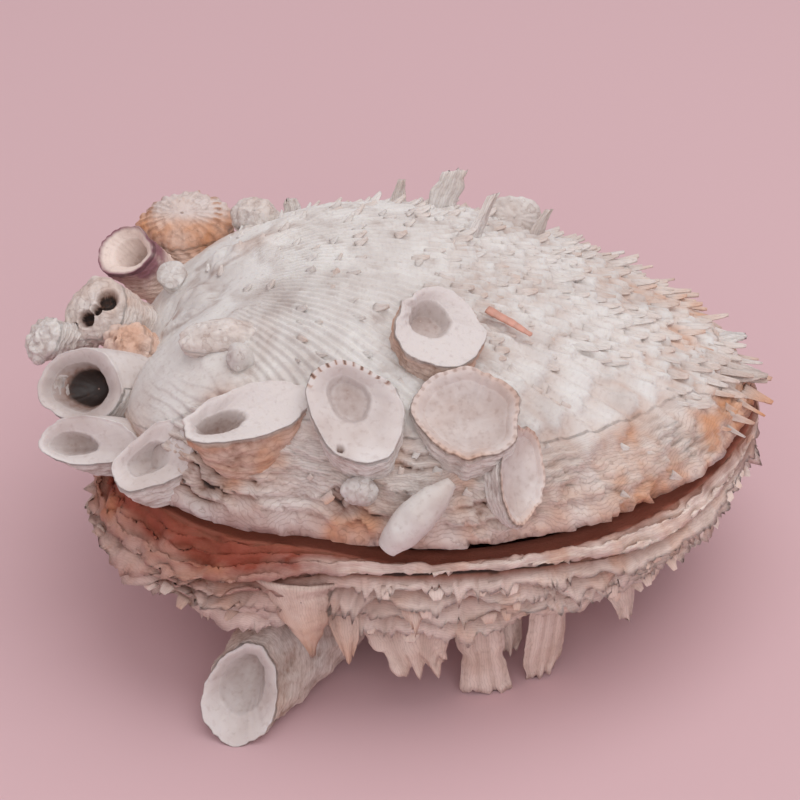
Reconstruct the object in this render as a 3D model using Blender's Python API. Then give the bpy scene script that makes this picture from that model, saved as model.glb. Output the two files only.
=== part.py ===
"""Spiny oyster shell, both valves closed, with jewel boxes and other growths on it, standing on its fronds."""

import math

import bmesh
import bpy
import numpy as np
from mathutils import Vector

# All lengths here are millimetres. +X runs from the hinge to the shell's far edge, +Z is up.
MM = 0.001
SHIFT = (0.4, 4.4, 0.0)  # brings the middle of the box's underside to the origin

# Outline of the upper valve: radii about CENTRE every 22.5 degrees, counter-clockwise from +X.
CENTRE = (8.0, -2.0)
RADII = (71, 68, 65, 62.5, 61, 62, 67, 72, 67, 72, 70, 61.5, 60, 60, 62.5, 67)
# How much further the lower valve's edge reaches, at the same angles.
LEDGE = (1, 1, 2, 3, 3, 3, 3, 3, 4.5, 8, 8, 4, 2.5, 3, 6, 4)
# How much of its inward slope the lower wall keeps, at the same angles: the front is nearly upright.
TUCK = (0.8, 0.9, 1, 1, 1, 1, 1, 0.9, 0.5, 0.35, 0.6, 0.5, 0.4, 0.45, 0.85, 0.9)
UMBO = (-50.0, 0.0)
LIP_Z = 45.0
RISE = 36.0
PROFILE_IN, PROFILE_OUT = 2.3, 0.62
WALL = 4.5
GAP = 0.3
FILL_GAP = 0.6
FILL_COLUMNS = 36
FILL_ROWS = (0.16, 0.34, 0.5, 0.66, 0.8, 0.89, 0.95, 1.0)

UPPER_RIBS = 36
RIB_SHARE = 0.42
# Rows of the upper valve from the umbo to the lip, and how far each is pushed out: pairs make lamina edges.
UPPER_ROWS = (
    (0.08, 0.0), (0.22, 0.0), (0.35, 0.0), (0.47, 0.0), (0.57, 0.0), (0.66, 0.0), (0.74, 0.0),
    (0.81, 0.0), (0.87, 0.6), (0.885, -0.3), (0.93, 0.7), (0.942, -0.3), (0.975, 0.7), (1.0, 0.0),
)
INNER_ROWS = (1.0, 0.78, 0.4)

LOWER_COLUMNS = 50
# The lower valve's outside from its edge to its underside: (distance in from the edge, height, raggedness).
LOWER_ROWS = (
    (0.0, 43.2, 0.7), (3.2, 41.4, 0.2), (1.0, 38.8, 0.9), (4.4, 37.4, 0.2), (3.0, 34.8, 1.0),
    (6.8, 33.2, 0.2), (6.0, 30.4, 1.1), (10.4, 28.8, 0.2), (10.4, 25.8, 1.2), (15.0, 24.2, 0.2),
    (16.4, 21.0, 1.2), (22.5, 18.6, 0.0), (32.0, 12.6, 0.0), (45.0, 8.6, 0.0),
)
LOWER_BASE_Z = 7.0
LOWER_WALL = 5.0

WHITE_SHELL = ("chalk white shell", (0.60, 0.57, 0.53, 1))
BROWN_SHELL = ("brown layered shell", (0.42, 0.30, 0.23, 1))
PORCELAIN = ("lavender porcelain shell", (0.62, 0.56, 0.58, 1))
RUSTY = ("orange stained shell", (0.55, 0.33, 0.22, 1))
PURPLE = ("purple rimmed shell", (0.40, 0.24, 0.32, 1))
CHALK = ("white worm tube", (0.78, 0.76, 0.73, 1))
SALMON = ("salmon pink shell", (0.72, 0.36, 0.30, 1))


def periodic(values, angle):
    """A smooth closed curve through values spaced evenly round the circle."""
    count = len(values)
    place = (angle % (2 * math.pi)) / (2 * math.pi) * count
    index = int(place)
    f = place - index
    a, b, c, d = (values[(index + k) % count] for k in (-1, 0, 1, 2))
    return 0.5 * (
        2 * b
        + (c - a) * f
        + (2 * a - 5 * b + 4 * c - d) * f * f
        + (3 * b - a - 3 * c + d) * f**3
    )


def smooth_step(value):
    value = min(max(value, 0.0), 1.0)
    return value * value * (3 - 2 * value)


def dome_height(x, y, rise=RISE):
    """Height of the upper valve's outside over a point of the plan."""
    dx, dy = x - CENTRE[0], y - CENTRE[1]
    share = min(math.hypot(dx, dy) / periodic(RADII, math.atan2(dy, dx)), 1.0)
    flatter = 1 - 0.5 * smooth_step((x + 25) / 100)
    return LIP_Z + rise * flatter * (1 - share**PROFILE_IN) ** PROFILE_OUT


def upper_point(angle, t, push=0.0, inset=0.0, rise=RISE, lift=0.0):
    """A point of the upper valve's grid, which runs from the umbo to the outline."""
    radius = periodic(RADII, angle)
    edge = (CENTRE[0] + radius * math.cos(angle), CENTRE[1] + radius * math.sin(angle))
    x = UMBO[0] + t * (edge[0] - UMBO[0])
    y = UMBO[1] + t * (edge[1] - UMBO[1])
    z = dome_height(x, y, rise) + lift
    dx, dy = x - CENTRE[0], y - CENTRE[1]
    scale = (radius - inset) / radius
    length = max(math.hypot(dx, dy), 1e-6)
    grow = scale + push / length
    return (CENTRE[0] + dx * grow, CENTRE[1] + dy * grow, z)


def grid_faces(rows, columns, first=0):
    """Quads between rows of points that each go once round."""
    faces = []
    for row in range(rows - 1):
        for column in range(columns):
            after = (column + 1) % columns
            a = first + row * columns
            b = a + columns
            faces.append((a + column, b + column, b + after, a + after))
    return faces


def make_object(name, points, faces, look, collection):
    mesh = bpy.data.meshes.new(name)
    mesh.from_pydata([tuple(c * MM for c in p) for p in points], [], faces)
    work = bmesh.new()
    work.from_mesh(mesh)
    bmesh.ops.recalc_face_normals(work, faces=work.faces)
    work.to_mesh(mesh)
    work.free()
    mesh.shade_smooth()
    piece = bpy.data.objects.new(name, mesh)
    collection.objects.link(piece)
    if look:
        material = bpy.data.materials.new(f"{name} {look[0]}")
        material.use_nodes = True
        shader = material.node_tree.nodes["Principled BSDF"]
        shader.inputs["Base Color"].default_value = look[1]
        shader.inputs["Roughness"].default_value = 0.6
        mesh.materials.append(material)
    return piece


def make_cutter(name, points, faces, collection):
    cutter = make_object(name, points, faces, None, collection)
    cutter.hide_render = True
    cutter.display_type = "WIRE"
    return cutter


def boolean(piece, other, operation):
    step = piece.modifiers.new(other.name, "BOOLEAN")
    step.operation = operation
    step.solver = "EXACT"
    step.object = other


# Growths cemented to the valves. Each is a rim in space with a body that narrows to a foot on the valve.
# name: centre, azimuth and elevation it faces, half axes, roll, top (below 0 a hollow, above 0 a dome),
# shift of the hollow's floor, foot, radius of the foot, sides, look
GROWTHS = {
    "great_cup": ((-68.9, -18.0, 55.8), -105, 35, 9.7, 7.9, -161, -6.4, (0.2, 0.1), (-51, -10, 49), 6.5, 14, PORCELAIN),
    "shelf_cup": ((-66.0, -32.5, 51.4), -105, 42, 10.9, 5.2, -170, -3.2, (0.3, 0.0), (-53, -24, 44.5), 4.5, 14, PORCELAIN),
    "corner_cup": ((-50.1, -43.4, 55.4), -85, 48, 9.8, 6.2, -150, -4.0, (0.2, 0.0), (-43, -34, 50), 5.5, 14, PORCELAIN),
    "long_cup": ((-30.8, -47.4, 69.0), -70, 62, 13.6, 6.2, -176, -4.4, (-0.25, 0.0), (-28, -41, 58), 7.0, 14, RUSTY),
    "middle_cup": ((-8.9, -49.2, 70.5), -85, 58, 12.1, 9.0, -73, -5.0, (-0.25, 0.1), (-7, -43, 57), 7.5, 14, PORCELAIN),
    "upper_cup": ((8.2, -30.8, 78.7), -60, 60, 9.7, 9.1, 139, -3.6, (-0.2, -0.2), (5, -26, 67), 7.5, 14, RUSTY),
    "right_cup": ((13.8, -48.0, 69.4), -95, 60, 10.9, 10.1, -177, -3.4, (0.0, 0.0), (13, -42, 57), 8.0, 14, PORCELAIN),
    "wing_shell": ((24.7, -55.2, 59.2), -45, 35, 10.3, 5.6, 59, -2.2, (0.0, 0.0), (18, -47, 53), 4.5, 14, PORCELAIN),
    "rough_lump": ((-59.6, -5.6, 58.4), -130, 52, 6.0, 4.6, 170, 2.2, (0.0, 0.0), (-50, -3, 51), 4.0, 12, RUSTY),
    "spotted_shell": ((-67.6, 5.0, 61.0), -120, 50, 7.4, 7.4, 0, 2.6, (0.0, 0.0), (-53, 9, 50), 5.0, 12, WHITE_SHELL),
    "purple_shell": ((-62.5, 24.0, 64.6), -130, 52, 7.2, 6.2, 0, -3.0, (0.1, 0.1), (-49, 21, 53), 5.0, 12, PURPLE),
    "rust_shell": ((-49.6, 35.0, 66.2), -100, 58, 10.8, 7.4, 10, 4.2, (0.0, 0.0), (-43, 29, 56), 6.0, 14, RUSTY),
    "left_lump": ((-78.6, 0.0, 56.2), -150, 40, 4.4, 5.4, 0, 3.0, (0.0, 0.0), (-68, 4, 54), 3.0, 10, WHITE_SHELL),
    "long_shell": ((-37.7, -24.6, 72.9), -80, 66, 9.4, 4.0, 178, 2.2, (0.0, 0.0), (-37, -22, 65), 4.0, 12, WHITE_SHELL),
    "white_knob": ((-33.2, -32.2, 72.6), -75, 50, 3.0, 3.0, 0, 2.4, (0.0, 0.0), (-32, -30, 67), 2.4, 10, CHALK),
    "flat_disc": ((-51.2, 13.0, 65.2), -100, 60, 3.5, 3.4, 0, 0.8, (0.0, 0.0), (-48, 14, 59), 2.8, 12, WHITE_SHELL),
    "beige_crust": ((-33.0, 30.0, 70.6), -90, 50, 5.4, 4.2, 0, 3.0, (0.0, 0.0), (-32, 31, 63), 4.0, 12, WHITE_SHELL),
    "fan_shell": ((26.2, 37.0, 65.6), -80, 42, 7.0, 5.4, 0, 1.6, (0.0, 0.0), (25, 38, 58), 4.0, 12, WHITE_SHELL),
    "white_lump": ((-8.2, -57.4, 56.6), -80, 40, 3.6, 3.1, 0, 2.2, (0.0, 0.0), (-7.5, -52, 52), 2.6, 10, CHALK),
    "bottom_cup": ((-33.6, -64.4, 8.2), -95, 40, 10.6, 8.1, -93, -5.6, (0.15, 0.1), (-18, -40, 13), 12.5, 14, PORCELAIN),
}
ON_LOWER = ("bottom_cup",)
# Growths that stand against another one are cut back to it.
LEANS_ON = {
    "rough_lump": ("great_cup",),
    "left_lump": ("spotted_shell",),
    "wing_shell": ("right_cup",),
}


def facing_axes(azimuth, elevation):
    a, e = math.radians(azimuth), math.radians(elevation)
    normal = np.array((math.cos(a) * math.cos(e), math.sin(a) * math.cos(e), math.sin(e)))
    across = np.array((-normal[1], normal[0], 0.0))
    across /= np.linalg.norm(across)
    return normal, across, np.cross(normal, across)


def growth_solid(spec, seed, grow=0.0):
    """Points and faces of one growth. With grow it is filled and that much larger, to cut its neighbours."""
    centre, azimuth, elevation, a, b, roll, top, floor_shift, foot, foot_radius, sides, _ = spec
    normal, across, upward = facing_axes(azimuth, elevation)
    r = math.radians(roll)
    major = across * math.cos(r) + upward * math.sin(r)
    minor = np.cross(normal, major)
    centre, foot = np.array(centre, float), np.array(foot, float)
    rng = np.random.default_rng(seed)
    phases = rng.uniform(0, 2 * math.pi, 3)
    turn = [2 * math.pi * k / sides for k in range(sides)]
    wobble = [
        1 + 0.045 * math.sin(2 * w + phases[0]) + 0.035 * math.sin(3 * w + phases[1])
        + 0.02 * math.sin(5 * w + phases[2])
        for w in turn
    ]

    def ring(scale, along, shift=(0.0, 0.0), extra=0.0):
        return [
            centre
            + major * ((a * scale * wobble[k] + extra) * math.cos(w) + a * shift[0])
            + minor * ((b * scale * wobble[k] + extra) * math.sin(w) + b * shift[1])
            + normal * along
            for k, w in enumerate(turn)
        ]

    rim = ring(1.0, 0.0, extra=grow)
    # The foot's ring is the rim's, turned halfway towards the line from rim to foot.
    line = (centre - foot) / np.linalg.norm(centre - foot)
    facing = (normal + line) / np.linalg.norm(normal + line)
    rotation = Vector(normal).rotation_difference(Vector(facing))
    foot_ring = []
    for w in turn:
        arm = major * math.cos(w) + minor * math.sin(w)
        foot_ring.append(foot + np.array(rotation @ Vector(arm)) * (foot_radius + grow))
    body = [0.7 * p + 0.3 * q - normal * 0.8 for p, q in zip(ring(1.0, -0.4, extra=grow), foot_ring)]
    if grow:
        rings = [ring(1.0, grow, extra=grow), rim, body, foot_ring]
        tip = centre + normal * (grow + max(top, 0.0))
        if top > 0:
            rings.insert(0, ring(0.62, 0.75 * top + grow, extra=grow))
    elif top < 0:
        lip = 1.5 / min(a, b)
        rings = [
            ring(0.30, top, floor_shift),
            ring(0.66, 0.62 * top, (floor_shift[0] * 0.5, floor_shift[1] * 0.5)),
            ring(1.0 - lip, -0.3),
            rim,
            body,
            foot_ring,
        ]
        tip = centre + major * a * floor_shift[0] + minor * b * floor_shift[1] + normal * top * 1.08
    else:
        rings = [ring(0.34, 0.92 * top), ring(0.74, 0.62 * top), rim, body, foot_ring]
        tip = centre + normal * top
    points = [tip] + [p for one in rings for p in one]
    faces = [(0, 1 + k, 1 + (k + 1) % sides) for k in range(sides)]
    faces += grid_faces(len(rings), sides, 1)
    last = 1 + (len(rings) - 1) * sides
    points.append(foot + (foot - centre) / np.linalg.norm(foot - centre))
    faces += [(last + (k + 1) % sides, last + k, len(points) - 1) for k in range(sides)]
    # Nothing goes below the floor that the shell stands on.
    points = [(p[0], p[1], max(p[2], 0.0)) for p in points]
    return points, faces


def tube_solid(path, radii, sides, grow=0.0, flat=1.0):
    """A round or flattened tube along a path, closed at both ends with a blunt cap."""
    path = [np.array(p, float) for p in path]
    points, rings = [], []
    for k, p in enumerate(path):
        ahead = path[min(k + 1, len(path) - 1)] - path[max(k - 1, 0)]
        ahead /= np.linalg.norm(ahead)
        side = np.cross(ahead, (0, 0, 1))
        side /= np.linalg.norm(side)
        over = np.cross(side, ahead)
        radius = radii[k] + grow
        rings.append([
            p + side * radius * math.cos(w) + over * radius * flat * math.sin(w)
            for w in (2 * math.pi * j / sides for j in range(sides))
        ])
    start = path[0] - (path[1] - path[0]) / np.linalg.norm(path[1] - path[0]) * (radii[0] * 0.4 + grow)
    end = path[-1] + (path[-1] - path[-2]) / np.linalg.norm(path[-1] - path[-2]) * (radii[-1] * 0.4 + grow)
    points = [start] + [p for one in rings for p in one] + [end]
    faces = [(0, 1 + j, 1 + (j + 1) % sides) for j in range(sides)]
    faces += grid_faces(len(rings), sides, 1)
    last = 1 + (len(rings) - 1) * sides
    faces += [(last + (j + 1) % sides, last + j, len(points) - 1) for j in range(sides)]
    return points, faces


def blade_solid(stations, outward):
    """A curved flat blade. Each station is a point, a width and a thickness; outward faces its broad side."""
    outward = np.array(outward, float)
    outward /= np.linalg.norm(outward)
    across = np.cross(outward, (0, 0, 1))
    across /= np.linalg.norm(across)
    points = []
    for where, width, thick in stations:
        where = np.array(where, float)
        for u, v in ((-0.5, 0), (-0.28, -0.5), (0.28, -0.5), (0.5, 0), (0.28, 0.5), (-0.28, 0.5)):
            points.append(where + across * width * u + outward * thick * v)
    faces = grid_faces(len(stations), 6)
    faces.append(tuple(range(6)))
    last = 6 * (len(stations) - 1)
    faces.append(tuple(last + k for k in reversed(range(6))))
    return points, faces


WORM_TUBE = (((10.4, -58.6, 59.4), (7.2, -61.0, 57.4), (3.4, -63.0, 54.4), (0.2, -64.2, 51.0), (-2.6, -64.6, 47.6)), (2.6, 3.2, 3.3, 3.2, 2.4))
PINK_SLIVER = (((18.4, -17.3, 74.8), (22.8, -19.6, 73.4), (27.6, -22.0, 71.4)), (1.7, 1.5, 0.9))
SHARD = (
    (((-22.0, -62.6, 36.2), 15.0, 2.4), ((-21.0, -63.4, 31.2), 12.5, 2.6), ((-19.4, -64.0, 25.0), 7.0, 2.2), ((-18.2, -64.4, 19.2), 1.6, 1.2)),
    (-0.15, -1.0, -0.25),
)
# Tall spines that stand on the upper valve's crest.
CREST_SPINES = (
    ((((8.6, 33.0, 66.0), 7.0, 3.0), ((10.0, 35.4, 72.0), 7.0, 2.2), ((13.0, 38.0, 78.6), 6.4, 1.6)), (0.1, -1, 0.5)),
    ((((-1.0, 36.0, 64.0), 4.0, 2.4), ((-0.6, 38.0, 69.6), 3.6, 2.0), ((0.4, 39.8, 74.6), 2.2, 1.2)), (0, -1, 0.5)),
    ((((15.0, 13.0, 70.0), 4.6, 4.0), ((17.6, 17.6, 75.4), 4.2, 3.0), ((21.2, 23.0, 80.2), 3.0, 1.6)), (0.6, -1, 0.7)),
    ((((30.0, 30.0, 62.0), 3.6, 3.0), ((33.0, 33.4, 68.4), 3.4, 2.2), ((36.0, 36.0, 72.0), 2.0, 1.2)), (0.3, -1, 0.5)),
    ((((-24.0, 36.0, 62.0), 6.0, 3.0), ((-25.0, 39.0, 68.0), 5.0, 2.2), ((-26.0, 41.0, 72.4), 2.6, 1.2)), (-0.1, -1, 0.5)),
    ((((70.0, -4.0, 50.0), 7.0, 3.4), ((76.0, -4.2, 50.6), 6.0, 2.6), ((81.6, -4.4, 49.4), 2.6, 1.4)), (0.3, 0, 1)),
    ((((68.0, 8.0, 50.0), 6.0, 3.4), ((74.0, 9.0, 51.4), 5.0, 2.4), ((78.6, 10.0, 50.8), 2.4, 1.4)), (0.3, 0, 1)),
)
# Long fronds of the lower valve: stations down each blade, and where its broad side faces.
FRONDS = (
    ((((-12.4, -55.0, 28.6), 6.0, 3.0), ((-12.0, -60.0, 25.6), 6.4, 2.6), ((-11.0, -62.0, 21.0), 5.0, 2.2), ((-10.6, -63.0, 16.4), 2.0, 1.4)), (0, -1, -0.3)),
    ((((0.0, -50.0, 26.0), 16.0, 3.4), ((1.0, -57.0, 22.4), 19.0, 3.0), ((2.0, -60.2, 16.4), 18.0, 2.4), ((4.0, -61.4, 10.4), 9.0, 1.4)), (0, -1, -0.4)),
    ((((15.0, -46.0, 24.0), 9.0, 4.0), ((16.4, -53.0, 18.0), 9.6, 3.4), ((18.0, -54.0, 9.0), 10.4, 3.0), ((18.8, -54.0, 0.0), 10.0, 3.0)), (0.1, -1, 0)),
    ((((22.4, -40.0, 22.0), 6.0, 3.0), ((23.4, -45.0, 16.0), 6.6, 2.6), ((24.0, -46.6, 9.0), 5.6, 2.2), ((24.0, -47.0, 4.6), 3.0, 1.4)), (0.2, -1, 0)),
    ((((32.0, -41.0, 24.0), 9.0, 4.0), ((32.4, -48.0, 19.0), 10.0, 3.4), ((31.4, -49.4, 9.0), 9.0, 3.0), ((30.6, -49.0, 0.0), 6.4, 3.0)), (0.4, -1, 0)),
    ((((2.4, -59.0, 32.6), 6.4, 3.0), ((2.8, -64.0, 30.0), 5.0, 2.2), ((3.2, -65.6, 25.6), 1.4, 1.2)), (0, -1, -0.3)),
    ((((46.0, -33.0, 22.0), 8.0, 4.0), ((49.0, -37.0, 15.0), 8.0, 3.0), ((50.0, -38.6, 7.6), 4.0, 1.8)), (0.8, -1, 0)),
    ((((-39.0, -38.0, 26.0), 9.0, 4.0), ((-41.6, -43.6, 20.0), 8.0, 3.0), ((-42.4, -45.4, 13.6), 4.0, 1.8)), (-0.5, -1, 0)),
    ((((38.0, 33.0, 22.0), 9.0, 4.0), ((40.0, 37.4, 12.0), 9.6, 3.4), ((40.4, 38.0, 0.0), 8.0, 3.2)), (0.8, 1, 0)),
    ((((6.0, 42.0, 22.0), 9.0, 4.0), ((6.0, 47.0, 14.0), 9.0, 3.2), ((6.0, 48.4, 6.0), 5.0, 2.0)), (0, 1, 0)),
    ((((-33.0, 34.0, 22.0), 9.0, 4.0), ((-36.0, 39.0, 12.0), 9.6, 3.4), ((-36.6, 40.0, 0.0), 8.0, 3.2)), (-0.8, 1, 0)),
    ((((60.0, 2.0, 24.0), 9.0, 4.0), ((65.0, 2.4, 17.0), 8.0, 3.2), ((66.4, 2.6, 10.0), 4.0, 1.8)), (1, 0, 0)),
    ((((-43.0, 8.0, 25.0), 9.0, 4.0), ((-51.0, 9.0, 19.0), 8.0, 3.2), ((-54.0, 9.4, 12.0), 4.0, 1.8)), (-1, 0.1, 0)),
)


def upper_valve_mesh(angles, rows, inner_rows):
    """The upper valve as one hollow bowl turned over: outside, flat lip, inside."""
    columns = len(angles)
    points = [(UMBO[0], UMBO[1], dome_height(*UMBO))]
    for t, push in rows:
        for angle in angles:
            wave = 0.006 * math.sin(6 * angle + 9 * t) if 0.5 < t < 1 else 0.0
            points.append(upper_point(angle, t + wave, push=push))
    for t in inner_rows:
        for angle in angles:
            points.append(upper_point(angle, t, inset=WALL, rise=RISE - 5))
    inside_top = dome_height(*UMBO, RISE - 5)
    points.append((UMBO[0] + WALL * 0.9, UMBO[1], inside_top - 0.5))
    faces = [(0, 1 + k, 1 + (k + 1) % columns) for k in range(columns)]
    faces += grid_faces(len(rows) + len(inner_rows), columns, 1)
    last = 1 + (len(rows) + len(inner_rows) - 1) * columns
    faces += [(last + (k + 1) % columns, last + k, len(points) - 1) for k in range(columns)]
    return points, faces


def upper_fill_mesh():
    """A filled, plainer copy of the upper valve's outside that stands just clear of it."""
    angles = [2 * math.pi * k / FILL_COLUMNS for k in range(FILL_COLUMNS)]
    points = [(UMBO[0], UMBO[1], dome_height(*UMBO) + FILL_GAP)]
    for t in FILL_ROWS:
        for angle in angles:
            points.append(upper_point(angle, t, push=FILL_GAP + (0.9 if t > 0.8 else 0.0), lift=FILL_GAP))
    floor = [(x, y, LIP_Z - 0.25) for x, y, _ in points[-FILL_COLUMNS:]]
    points += floor
    points.append((CENTRE[0], CENTRE[1], LIP_Z - 0.25))
    faces = [(0, 1 + k, 1 + (k + 1) % FILL_COLUMNS) for k in range(FILL_COLUMNS)]
    faces += grid_faces(len(FILL_ROWS) + 1, FILL_COLUMNS, 1)
    last = 1 + len(FILL_ROWS) * FILL_COLUMNS
    faces += [(last + (k + 1) % FILL_COLUMNS, last + k, len(points) - 1) for k in range(FILL_COLUMNS)]
    return points, faces


def spine_length(x, y, t, rng):
    """Long over the far end and the back edge, short thorns on the worn top."""
    far = smooth_step((x - 5) / 45)
    back = smooth_step((y - 18) / 30)
    front = smooth_step((-y - 30) / 20) * 0.5
    length = 1.6 + 7.4 * max(far, 0.7 * back, front)
    if t > 0.96:
        length = 4.5
    return length * rng.uniform(0.75, 1.2)


def near_growth(point):
    for centre, _, _, a, b, _, top, _, foot, foot_radius, _, _ in GROWTHS.values():
        reach = max(a, b) + 3.0
        if math.dist(point, centre) < reach:
            return True
        if math.dist(point, foot) < foot_radius + 7.0:
            return True
    for path, radii in (WORM_TUBE, PINK_SLIVER):
        if any(math.dist(point, p) < max(radii) + 4.5 for p in path):
            return True
    for stations, _ in CREST_SPINES:
        if any(math.dist(point, p) < width * 0.5 + 3.5 for p, width, _ in stations):
            return True
    return False


def grow_spines(piece, columns):
    """Draws blades out of chosen cells of the valve's outside, along its ribs and away from the umbo."""
    rng = np.random.default_rng(11)
    work = bmesh.new()
    work.from_mesh(piece.data)
    work.faces.ensure_lookup_table()
    chosen, plans = [], []
    for row in range(2, len(UPPER_ROWS) - 1):
        t_low, t_high = UPPER_ROWS[row - 1][0], UPPER_ROWS[row][0]
        if t_high - t_low < 0.02:
            continue
        for rib in range(columns // 2):
            column = 2 * rib
            if (rib + row) % 2 and (row < 6 or rib % 4 != 1):
                continue
            if rng.uniform() < 0.13:
                continue
            face = work.faces[columns + (row - 1) * columns + column]
            centre = face.calc_center_median() / MM
            radial = np.array((centre.x - UMBO[0], centre.y - UMBO[1], 0.0))
            reach = np.linalg.norm(radial)
            if reach < 16:
                continue
            normal = np.array(face.normal)
            radial /= reach
            along = radial - normal * float(radial @ normal)
            along /= max(np.linalg.norm(along), 1e-6)
            length = spine_length(centre.x, centre.y, t_high, rng)
            direction = along * 0.72 + normal * 0.70
            tip = np.array(centre) + direction * length
            if near_growth(np.array(centre)) or near_growth(tip):
                continue
            if tip[2] < LIP_Z + 1.5:
                direction[2] = max(direction[2], 0.1)
            chosen.append(face)
            plans.append((direction, length, along))
    grown = bmesh.ops.extrude_discrete_faces(work, faces=chosen)["faces"]
    for face, (direction, length, along) in zip(grown, plans):
        middle = np.array(face.calc_center_median())
        for vert in face.verts:
            offset = np.array(vert.co) - middle
            lengthways = along * float(offset @ along)
            sideways = offset - lengthways
            place = middle + direction * length * MM + lengthways * 0.22 + sideways * 0.62
            vert.co = tuple(place)
    work.to_mesh(piece.data)
    work.free()


def lower_radius(angle):
    return periodic(RADII, angle) + periodic(LEDGE, angle)


def sloped(angle, height):
    """A row's height with the ledge's slope: the further the ledge reaches, the lower its outer edge."""
    drop = 1.1 * max(periodic(LEDGE, angle) - 0.5, 0.0)
    return height - drop * min(max((height - 26.0) / 17.2, 0.0), 1.0)


def tuck_share(angle, height):
    """Share of a row's inward step: its full step under the belly, less of it up the wall."""
    up = min(max((height - 14.0) / 10.0, 0.0), 1.0)
    return 1 - (1 - periodic(TUCK, angle)) * up


def lower_valve_mesh(grow=0.0):
    """The lower valve: a deep bowl with tiers of ragged laminae round its outside."""
    rng = np.random.default_rng(5)
    angles = [2 * math.pi * k / LOWER_COLUMNS for k in range(LOWER_COLUMNS)]
    points = []
    # From the middle of the underside out to the edge, then over the edge and down the inside.
    points.append((CENTRE[0], CENTRE[1], LOWER_BASE_Z - grow))
    for inward, height, ragged in reversed(LOWER_ROWS):
        for k, angle in enumerate(angles):
            scallop = ragged * (0.6 * math.sin(angle * 23 + height) + rng.uniform(-0.7, 0.7))
            radius = lower_radius(angle) - inward * tuck_share(angle, height) + scallop + grow
            tilt = 0.6 * ragged * math.sin(angle * 17 + 1.7 * height)
            x = CENTRE[0] + radius * math.cos(angle)
            y = CENTRE[1] + radius * math.sin(angle)
            points.append((x, y, sloped(angle, height) + tilt - grow * (0.0 if inward < 0.5 else 1.0)))
    if grow:
        for angle in angles:
            radius = periodic(RADII, angle)
            points.append((CENTRE[0] + radius * math.cos(angle), CENTRE[1] + radius * math.sin(angle), LIP_Z - 0.1))
        rows = len(LOWER_ROWS) + 1
        points.append((CENTRE[0], CENTRE[1], LIP_Z - 0.1))
    else:
        inner = ((0.0, LIP_Z - 0.4), (LOWER_WALL, LIP_Z - 0.4), (11.0, 29.0), (26.0, 16.4))
        for inward, height in inner:
            for angle in angles:
                radius = periodic(RADII, angle) - inward
                points.append((CENTRE[0] + radius * math.cos(angle), CENTRE[1] + radius * math.sin(angle), height))
        rows = len(LOWER_ROWS) + len(inner)
        points.append((CENTRE[0], CENTRE[1], 12.0))
    faces = [(0, 1 + k, 1 + (k + 1) % LOWER_COLUMNS) for k in range(LOWER_COLUMNS)]
    faces += grid_faces(rows, LOWER_COLUMNS, 1)
    last = 1 + (rows - 1) * LOWER_COLUMNS
    faces += [
        (last + (k + 1) % LOWER_COLUMNS, last + k, len(points) - 1) for k in range(LOWER_COLUMNS)
    ]
    return points, faces


def build():
    for thing in list(bpy.data.objects):
        bpy.data.objects.remove(thing)
    parts = bpy.data.collections.new("Spiny oyster shell")
    cutters = bpy.data.collections.new("Cutters")
    bpy.context.scene.collection.children.link(parts)
    bpy.context.scene.collection.children.link(cutters)

    angles = []
    for rib in range(UPPER_RIBS):
        start = 2 * math.pi * rib / UPPER_RIBS
        angles += [start, start + 2 * math.pi / UPPER_RIBS * RIB_SHARE]
    upper = make_object(
        "upper_valve", *upper_valve_mesh(angles, UPPER_ROWS, INNER_ROWS), WHITE_SHELL, parts
    )
    grow_spines(upper, len(angles))
    for number, (stations, outward) in enumerate(CREST_SPINES):
        spine = make_cutter(f"crest spine {number + 1}", *blade_solid(stations, outward), cutters)
        boolean(upper, spine, "UNION")

    lower = make_object("lower_valve", *lower_valve_mesh(), BROWN_SHELL, parts)
    for number, (stations, outward) in enumerate(FRONDS):
        frond = make_cutter(f"frond {number + 1}", *blade_solid(stations, outward), cutters)
        boolean(lower, frond, "UNION")

    # Filled copies of the valves, a little larger, leave a fine gap under each growth.
    upper_cutter = make_cutter("upper valve cutter", *upper_fill_mesh(), cutters)
    lower_cutter = make_cutter("lower valve cutter", *lower_valve_mesh(GAP), cutters)

    fills = {}
    for number, (name, spec) in enumerate(GROWTHS.items()):
        piece = make_object(name, *growth_solid(spec, number), spec[-1], parts)
        if name not in ON_LOWER:
            boolean(piece, upper_cutter, "DIFFERENCE")
        if name in ON_LOWER or spec[8][2] < 52:
            boolean(piece, lower_cutter, "DIFFERENCE")
        for other in LEANS_ON.get(name, ()):
            if other not in fills:
                seed = list(GROWTHS).index(other)
                solid = growth_solid(GROWTHS[other], seed, GAP)
                fills[other] = make_cutter(f"{other} cutter", *solid, cutters)
            boolean(piece, fills[other], "DIFFERENCE")

    tube = make_object("worm_tube", *tube_solid(*WORM_TUBE, 12), CHALK, parts)
    boolean(tube, upper_cutter, "DIFFERENCE")
    boolean(tube, lower_cutter, "DIFFERENCE")
    sliver = make_object("pink_sliver", *tube_solid(*PINK_SLIVER, 8, flat=0.6), SALMON, parts)
    boolean(sliver, upper_cutter, "DIFFERENCE")
    shard = make_object("hanging_shard", *blade_solid(*SHARD), RUSTY, parts)
    boolean(shard, lower_cutter, "DIFFERENCE")

    for thing in bpy.data.objects:
        thing.location = [c * MM for c in SHIFT]


build()
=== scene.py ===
"""Spiny oyster shell with jewel boxes grown on it: fine surfaces, finishes, light and camera."""

import math

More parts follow.
